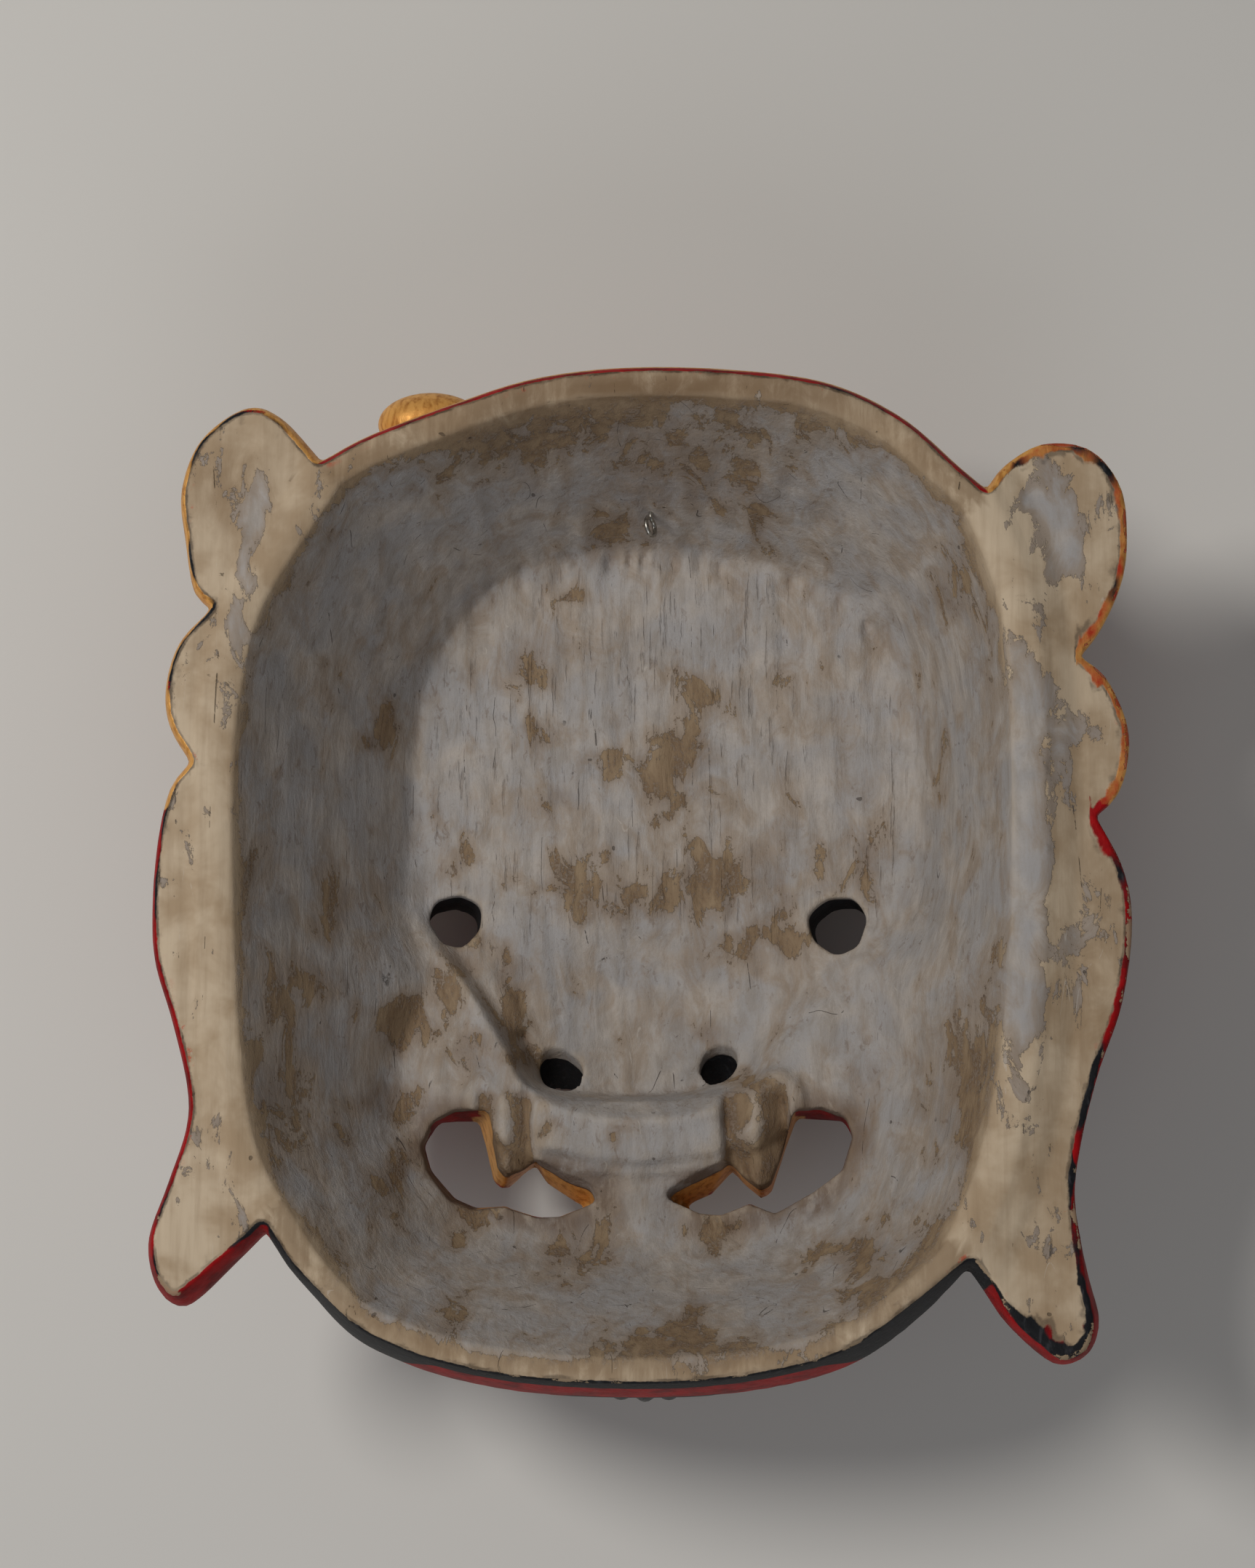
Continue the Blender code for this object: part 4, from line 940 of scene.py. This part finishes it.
class Shader:
    """A material's nodes, added one by one with plain calls."""

    def __init__(self, name):
        self.material = bpy.data.materials.new(name)
        self.material.use_nodes = True
        self.tree = self.material.node_tree
        self.surface = self.tree.nodes["Principled BSDF"]
        self.places = self.tree.nodes.new("ShaderNodeTexCoord").outputs["Object"]

    def put(self, value, socket):
        if isinstance(value, bpy.types.NodeSocket):
            self.tree.links.new(value, socket)
        else:
            socket.default_value = value

    def set(self, name, value):
        self.put(value, self.surface.inputs[name])

    def field(self, name):
        node = self.tree.nodes.new("ShaderNodeAttribute")
        node.attribute_name = name
        return node.outputs["Fac"]

    def stretched(self, x, y, z, turn):
        """Places drawn out along an axis where its scale is below 1, then turned by so many degrees."""
        node = self.tree.nodes.new("ShaderNodeMapping")
        self.put(self.places, node.inputs["Vector"])
        node.inputs["Scale"].default_value = (x, y, z)
        node.inputs["Rotation"].default_value = (0.0, 0.0, math.radians(turn))
        return node.outputs["Vector"]

    def noise(self, size, detail=4.0, roughness=0.55, distortion=0.0, places=None):
        """Noise whose broadest spots are about this size, in millimetres."""
        node = self.tree.nodes.new("ShaderNodeTexNoise")
        self.put(places or self.places, node.inputs["Vector"])
        node.inputs["Scale"].default_value = 1.0 / (size * MM)
        node.inputs["Detail"].default_value = detail
        node.inputs["Roughness"].default_value = roughness
        node.inputs["Distortion"].default_value = distortion
        return node.outputs["Fac"]

    def math(self, operation, a, b=0.0):
        node = self.tree.nodes.new("ShaderNodeMath")
        node.operation = operation
        for value, socket in zip((a, b), node.inputs):
            self.put(value, socket)
        return node.outputs[0]

    def add(self, *values):
        total = values[0]
        for value in values[1:]:
            total = self.math("ADD", total, value)
        return total

    def times(self, *values):
        total = values[0]
        for value in values[1:]:
            total = self.math("MULTIPLY", total, value)
        return total

    def less(self, value):
        """What the value leaves of 1."""
        return self.math("SUBTRACT", 1.0, value)

    def step(self, value, low, high, to_low=0.0, to_high=1.0):
        """A smooth change from to_low to to_high as the value goes from low to high."""
        node = self.tree.nodes.new("ShaderNodeMapRange")
        node.interpolation_type = "SMOOTHSTEP"
        for given, name in ((value, "Value"), (low, "From Min"), (high, "From Max"), (to_low, "To Min"),
                            (to_high, "To Max")):
            self.put(given, node.inputs[name])
        return node.outputs["Result"]

    def mix(self, share, a, b):
        """Colour a, going to b as the share goes to 1."""
        node = self.tree.nodes.new("ShaderNodeMix")
        node.data_type = "RGBA"
        self.put(share, node.inputs["Factor"])
        self.put(a, [s for s in node.inputs if s.name == "A" and s.type == "RGBA"][0])
        self.put(b, [s for s in node.inputs if s.name == "B" and s.type == "RGBA"][0])
        return [s for s in node.outputs if s.type == "RGBA"][0]

    def over(self, surface, colour, *shares):
        """A colour laid over the surface, as thick as the product of the shares."""
        return self.mix(self.times(*shares), surface, colour)

    def blend(self, share, a, b):
        """Number a, going to b as the share goes to 1."""
        return self.add(self.times(a, self.less(share)), self.times(b, share))

    def bump(self, height, distance, strength):
        """A fine relief of this height, over a distance in millimetres."""
        node = self.tree.nodes.new("ShaderNodeBump")
        self.put(height, node.inputs["Height"])
        node.inputs["Distance"].default_value = distance * MM
        node.inputs["Strength"].default_value = strength
        return node.outputs["Normal"]


# Colours of the wood, the paint, the wire and the floor
WASH_LIGHT = colour(177, 169, 161)
WASH_DARK = colour(142, 133, 124)
WASH_COOL = colour(160, 157, 156)
TAN_LIGHT = colour(196, 178, 153)
TAN_DARK = colour(166, 144, 117)
BROWN = colour(132, 109, 83)
WORN_WOOD = colour(150, 130, 105)
UMBER = colour(98, 74, 52)
DARK_BROWN = colour(46, 35, 27)
PALE_SCRATCH = colour(204, 197, 188)
RED = colour(160, 10, 15)
DARK_RED = colour(104, 7, 10)
FLAME = colour(178, 50, 18)
GOLD = colour(226, 168, 92)
DARK_GOLD = colour(172, 112, 50)
BONE = colour(214, 204, 180)
DARK_BONE = colour(160, 142, 112)
BLACK = colour(24, 25, 28)
GREY_BLACK = colour(58, 59, 63)
STEEL = colour(186, 184, 178)
DULL_STEEL = colour(122, 116, 106)
FLOOR_LIGHT = colour(216, 214, 209)
FLOOR_DARK = colour(208, 206, 202)

# How much the wood and the paint shine
PAINT_SPECULAR = 0.14


def raw_wood(s):
    """Bare wood under a thin grey wash that has worn off in places, as colour, roughness and height."""
    upright = s.stretched(1.0, 0.5, 0.7, 3)
    brushed = s.stretched(1.0, 0.3, 1.0, 28)
    fibres = s.stretched(1.0, 0.08, 0.3, 2)
    inside, floor = s.field("inside"), s.field("floor")
    broad = s.noise(42, 3.0)
    middling = s.noise(20, 4.0, 0.55, 0.3)
    blotches = s.noise(10, 10.0, 0.66, 0.7, upright)
    strokes = s.noise(5, 7.0, 0.66, 0.4, brushed)
    streaks = s.noise(3.0, 5.0, 0.6, 0.2, fibres)
    slits = s.noise(1.7, 4.0, 0.6, 0.0, fibres)
    fine = s.noise(0.9, 4.0, 0.65)

    tan = s.mix(s.step(middling, 0.35, 0.65), TAN_LIGHT, TAN_DARK)
    tan = s.over(tan, BROWN, 0.3, s.step(streaks, 0.4, 0.75))
    patchy = s.step(s.add(blotches, s.times(0.4, streaks)), 0.45, 0.75)
    tan = s.over(tan, BROWN, 0.75, s.field("rim"), patchy)
    # Brown on the spots of browner wood, partly painted shade on the top of the rim and the right ear, with
    # umber where they meet the rim
    tan = s.over(tan, BROWN, 0.9, s.field("brown"), s.step(blotches, 0.2, 0.6))
    tan = s.over(tan, UMBER, 0.35, s.field("brown"), s.field("rim"))
    worn_wood = s.mix(s.step(strokes, 0.35, 0.7, 0.1, 0.8), WORN_WOOD, UMBER)
    bare = s.mix(inside, tan, worn_wood)

    wash = s.mix(s.step(middling, 0.35, 0.65), WASH_LIGHT, WASH_COOL)
    wash = s.over(wash, WASH_DARK, 0.6, s.step(strokes, 0.42, 0.68))
    wash = s.over(wash, WASH_DARK, 0.3, s.step(fine, 0.5, 0.75))
    level = s.add(s.field("wash"), s.times(2.1, blotches), s.times(0.5, strokes), s.times(0.25, fine),
                  s.times(0.5, broad), s.times(0.7, middling), -2.12, s.times(-0.85, s.field("stain")))
    left_over = s.times(0.55, s.step(s.add(s.times(0.6, strokes), s.times(0.4, fine)), 0.5, 0.6), inside)
    cover = s.math("MAXIMUM", s.step(level, 0.44, 0.5), s.times(left_over, s.step(level, -0.1, 0.3)))
    thin = s.times(s.step(level, 1.0, 0.5), cover)
    surface = s.mix(cover, bare, wash)
    surface = s.over(surface, BROWN, 0.5, thin)
    stained = s.step(s.add(s.field("stain"), s.times(1.3, blotches), s.times(0.4, strokes), -0.9), 0.25, 0.5)
    surface = s.over(surface, UMBER, 0.2, stained, inside)
    speckle = s.step(s.noise(2.6, 6.0, 0.7, 0.6, upright), 0.57, 0.64)
    surface = s.over(surface, UMBER, 0.34, speckle, inside, s.step(middling, 0.4, 0.6))

    slit = s.times(s.step(slits, 0.6, 0.7), floor, s.step(broad, 0.34, 0.5))
    surface = s.over(surface, UMBER, 0.2, slit)
    lines = s.noise(9, 0.0, 0.4, 0.05, s.stretched(1.0, 0.1, 1.0, 38))
    scratch = s.times(s.step(s.math("ABSOLUTE", s.add(lines, -0.5)), 0.004, 0.0), s.step(strokes, 0.55, 0.6))
    surface = s.over(surface, PALE_SCRATCH, 0.35, scratch)
    cracks = s.noise(14, 0.0, 0.4, 0.05, s.stretched(1.0, 0.05, 1.0, -6))
    crack = s.step(s.math("ABSOLUTE", s.add(cracks, -0.5)), 0.004, 0.0005)
    crack = s.times(crack, s.step(blotches, 0.56, 0.6))
    surface = s.over(surface, DARK_BROWN, 0.6, crack)
    nick = s.times(s.step(s.noise(3.4, 0.0, 0.5, 0.0), 0.85, 0.87), s.step(middling, 0.5, 0.55))
    surface = s.over(surface, DARK_BROWN, 0.6, nick)
    # Painted shade: umber laid into the hollows of the carving
    surface = s.over(surface, UMBER, 0.6, s.field("hollowed"), s.step(strokes, 0.3, 0.6))
    surface = s.over(surface, TAN_LIGHT, 0.3, s.field("worn"))
    stained_wall = s.times(s.field("mouth"), s.step(s.add(blotches, s.times(0.3, strokes)), 0.5, 0.7))
    surface = s.over(surface, UMBER, 0.65, stained_wall)
    ragged = s.add(s.field("edge"), s.times(-2.6, blotches), s.times(0.9, fine), -2.2)
    dark_edge = s.times(s.step(ragged, 0.2, -0.4), s.less(inside))
    surface = s.over(surface, DARK_BROWN, 0.45, dark_edge)
    roughness = s.blend(cover, 0.62, 0.74)
    inner_height = s.add(s.times(1.6, strokes), s.times(0.9, slits, floor), s.times(0.3, fine))
    height = s.add(s.times(0.5, cover), s.times(0.2, streaks), s.times(inside, inner_height),
                   s.times(-0.9, crack), s.times(-0.5, nick), s.times(-0.9, slit))
    return surface, roughness, height


def paint(s):
    """The painted front, red, orange, cream, gold and black, as colour, metal, roughness and height."""
    mottled = s.noise(9, 5.0, 0.6)
    brushed = s.noise(2.2, 4.0, 0.6, 0.3, s.stretched(1.0, 0.35, 1.0, 20))
    fine = s.noise(0.7, 2.0, 0.6)
    wobble = s.times(1.1, s.add(mottled, -0.5))

    def zone(name, soft=0.35):
        return s.step(s.add(s.field(name), wobble), -soft, soft)

    red = s.mix(s.step(mottled, 0.35, 0.7), RED, DARK_RED)
    flame = s.mix(s.step(brushed, 0.35, 0.7), FLAME, RED)
    bone = s.mix(s.step(mottled, 0.4, 0.75), BONE, DARK_BONE)
    gold = s.mix(s.step(brushed, 0.4, 0.75), GOLD, DARK_GOLD)
    black = s.mix(s.step(brushed, 0.5, 0.8), BLACK, GREY_BLACK)
    hair_zone, bone_zone, gold_zone, black_zone = zone("hair"), zone("bone"), zone("gold"), zone("black")
    surface = s.mix(hair_zone, red, flame)
    surface = s.mix(gold_zone, surface, gold)
    surface = s.mix(bone_zone, surface, bone)
    surface = s.mix(black_zone, surface, black)
    # Dark brown in the hollows of the carving: grime and painted shade
    grime_and_shade = s.times(0.7, s.field("hollowed"), s.step(mottled, 0.25, 0.55))
    surface = s.mix(grime_and_shade, surface, DARK_BROWN)
    chipped = s.step(s.add(s.field("worn"), s.times(1.6, mottled), s.times(0.5, fine)), 1.84, 1.96)
    under = s.mix(gold_zone, TAN_DARK, RED)
    surface = s.mix(s.times(0.8, chipped), surface, under)
    metal = s.times(0.3, gold_zone, s.less(black_zone), s.less(chipped), s.less(grime_and_shade))
    roughness = s.add(s.blend(gold_zone, 0.5, 0.36), s.times(0.25, brushed), s.times(0.25, grime_and_shade), -0.06)
    height = s.add(s.times(0.5, brushed), s.times(0.1, fine), s.times(-0.5, chipped), s.times(0.4, mottled))
    return surface, metal, roughness, height


def wood_material():
    """Raw wash and wood on the back, paint on the front, with the paint's ragged edge between them."""
    s = Shader("carved and painted wood")
    raw_colour, raw_roughness, raw_height = raw_wood(s)
    paint_colour, metal, paint_roughness, paint_height = paint(s)
    ragged = s.add(s.field("raw"), s.times(1.3, s.add(s.noise(5, 5.0, 0.65, 0.4), -0.5)))
    bare = s.step(ragged, -0.22, 0.22)
    lip = s.times(s.step(s.math("ABSOLUTE", s.add(ragged, -0.35)), 0.6, 0.1), s.step(s.noise(11), 0.45, 0.6))
    surface = s.mix(bare, paint_colour, raw_colour)
    surface = s.over(surface, DARK_BROWN, 0.55, lip)
    near_edge = s.times(s.step(ragged, 0.2, 0.7), s.step(s.field("edge"), 5.5, 3.5))
    scuff = s.times(near_edge, s.step(s.noise(30), 0.5, 0.6), s.step(s.noise(5, 6.0, 0.7), 0.56, 0.62))
    surface = s.over(surface, FLAME, 0.6, scuff)
    s.set("Base Color", surface)
    s.set("Metallic", s.times(metal, s.less(bare)))
    s.set("Roughness", s.blend(bare, paint_roughness, raw_roughness))
    s.set("Normal", s.bump(s.blend(bare, paint_height, raw_height), 0.55, 0.8))
    s.set("Specular IOR Level", PAINT_SPECULAR)
    return s.material


def steel_material():
    """Thin plated wire, a little dulled."""
    s = Shader("plated wire")
    worn = s.noise(1.4, 4.0)
    s.set("Base Color", s.mix(s.step(worn, 0.4, 0.7), STEEL, DULL_STEEL))
    s.set("Metallic", 1.0)
    s.set("Roughness", s.step(worn, 0.3, 0.7, 0.24, 0.46))
    s.set("Normal", s.bump(s.noise(0.5), 0.05, 0.4))
    return s.material


def build_mask():
    mask = carve_mask()
    fit_to_node(mask, "mask")
    paint_fields(mask)
    mask.data.shade_smooth()
    mask.data.materials.clear()
    mask.data.materials.append(wood_material())
    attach(mask, "root")
    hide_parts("mask")


# The screw eye: its ring, wire and shank and the gap where its wire ends, in metres, then the place where
# it leaves the wall, in millimetres, how steeply it rises, and the turn of its ring, in degrees
EYE_RING = 0.0078
EYE_WIRE = 0.0015
EYE_SHANK = 0.0105
EYE_STAND = 0.0015
EYE_GAP = 0.0003
EYE_FOOT = (1.0, 124.7, 62.0)
EYE_RISE = 0.41
EYE_TURN = 24.0
EYE_SIDES = 40


def build_screw_eye():
    """A bent wire: a shank that goes into the wall, a neck, and a ring that stops just short of the neck."""
    foot = Vector((EYE_FOOT[0] * MM, EYE_FOOT[1] * MM, (DEPTH - EYE_FOOT[2]) * MM))
    out = Vector((0, -1, EYE_RISE)).normalized()
    across = (Matrix.Rotation(math.radians(EYE_TURN), 3, out) @ Vector((1, 0, 0)).cross(out)).normalized()
    radius = (EYE_RING - EYE_WIRE) / 2
    centre = foot + out * (EYE_STAND + EYE_RING / 2)
    points = [foot - out * EYE_SHANK, foot - out * 0.001, foot + out * 0.0005, centre - out * radius * 1.12]
    gap_angle = (EYE_WIRE + EYE_GAP) / radius
    for i in range(EYE_SIDES + 1):
        angle = gap_angle * 0.45 + (2 * math.pi - gap_angle * 1.5) * i / EYE_SIDES
        points.append(centre - out * radius * math.cos(angle) + across * radius * math.sin(angle))
    curve = bpy.data.curves.new("screw_eye_wire", "CURVE")
    curve.dimensions = "3D"
    curve.bevel_depth = EYE_WIRE / 2
    curve.bevel_resolution = 5
    curve.use_fill_caps = True
    spline = curve.splines.new("POLY")
    spline.points.add(len(points) - 1)
    for item, place in zip(spline.points, points):
        item.co = (*place, 1.0)
    wire = new_object("screw_eye_wire", curve)
    curve.materials.append(steel_material())
    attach(wire, "root")
    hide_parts("screw_eye")


# Floor, light and camera, in metres, with each light's place, aim, size, power and tint
FLOOR_SIZE = 14.0
KEY = ((-0.71, 0.36, 1.40), (0.02, 0, 0.05), 0.45, 13.0, (1.0, 0.97, 0.93))
FILL = ((0.15, -1.15, 1.2), (0, 0, 0.05), 1.0, 4.4, (0.98, 0.98, 1.0))
ROOM_COLOUR = (0.9, 0.92, 0.95, 1.0)
ROOM_STRENGTH = 0.14
CAMERA_PLACE = (0.050, -0.087, 1.132)
CAMERA_AIM = (-0.0039, 0.0286, 0.132)
SENSOR_WIDTH = 36.0
LENS = 76.05
CAMERA_SHIFT = 0.0012


def build_floor():
    bpy.ops.mesh.primitive_plane_add(size=FLOOR_SIZE, location=(0, 0, 0))
    floor = bpy.context.object
    floor.name = "floor"
    s = Shader("pale floor")
    s.set("Base Color", s.mix(s.noise(600, 2.0), FLOOR_LIGHT, FLOOR_DARK))
    s.set("Roughness", 0.9)
    floor.data.materials.append(s.material)


def look_at(obj, place):
    """Turns a camera or light toward a place, with the top of the head at the top of its view."""
    ahead = (Vector(place) - obj.location).normalized()
    right = ahead.cross(Vector((0, 1, 0))).normalized()
    turn = Matrix((right, right.cross(ahead), -ahead)).transposed()
    obj.rotation_euler = turn.to_euler()


def area_light(name, place, aim, size, power, tint):
    light = bpy.data.lights.new(name, "AREA")
    light.shape = "DISK"
    light.size = size
    light.energy = power
    light.color = tint
    obj = new_object(name, light)
    obj.location = place
    look_at(obj, aim)


def build_light():
    """A broad light from the upper left, a weaker one from below the chin, and a faint grey room."""
    area_light("key", *KEY)
    area_light("fill", *FILL)
    world = bpy.data.worlds.new("room")
    bpy.context.scene.world = world
    world.use_nodes = True
    background = world.node_tree.nodes["Background"]
    background.inputs["Color"].default_value = ROOM_COLOUR
    background.inputs["Strength"].default_value = ROOM_STRENGTH


def build_camera():
    """Nearly straight above the hollow, a little to the right and below, as the photograph was taken."""
    data = bpy.data.cameras.new("camera")
    data.sensor_width = SENSOR_WIDTH
    data.lens = LENS
    data.shift_x = CAMERA_SHIFT
    camera = new_object("camera", data)
    camera.location = CAMERA_PLACE
    look_at(camera, CAMERA_AIM)
    bpy.context.scene.camera = camera


bpy.context.scene.view_settings.view_transform = "Standard"
build_mask()
build_screw_eye()
build_floor()
build_light()
build_camera()
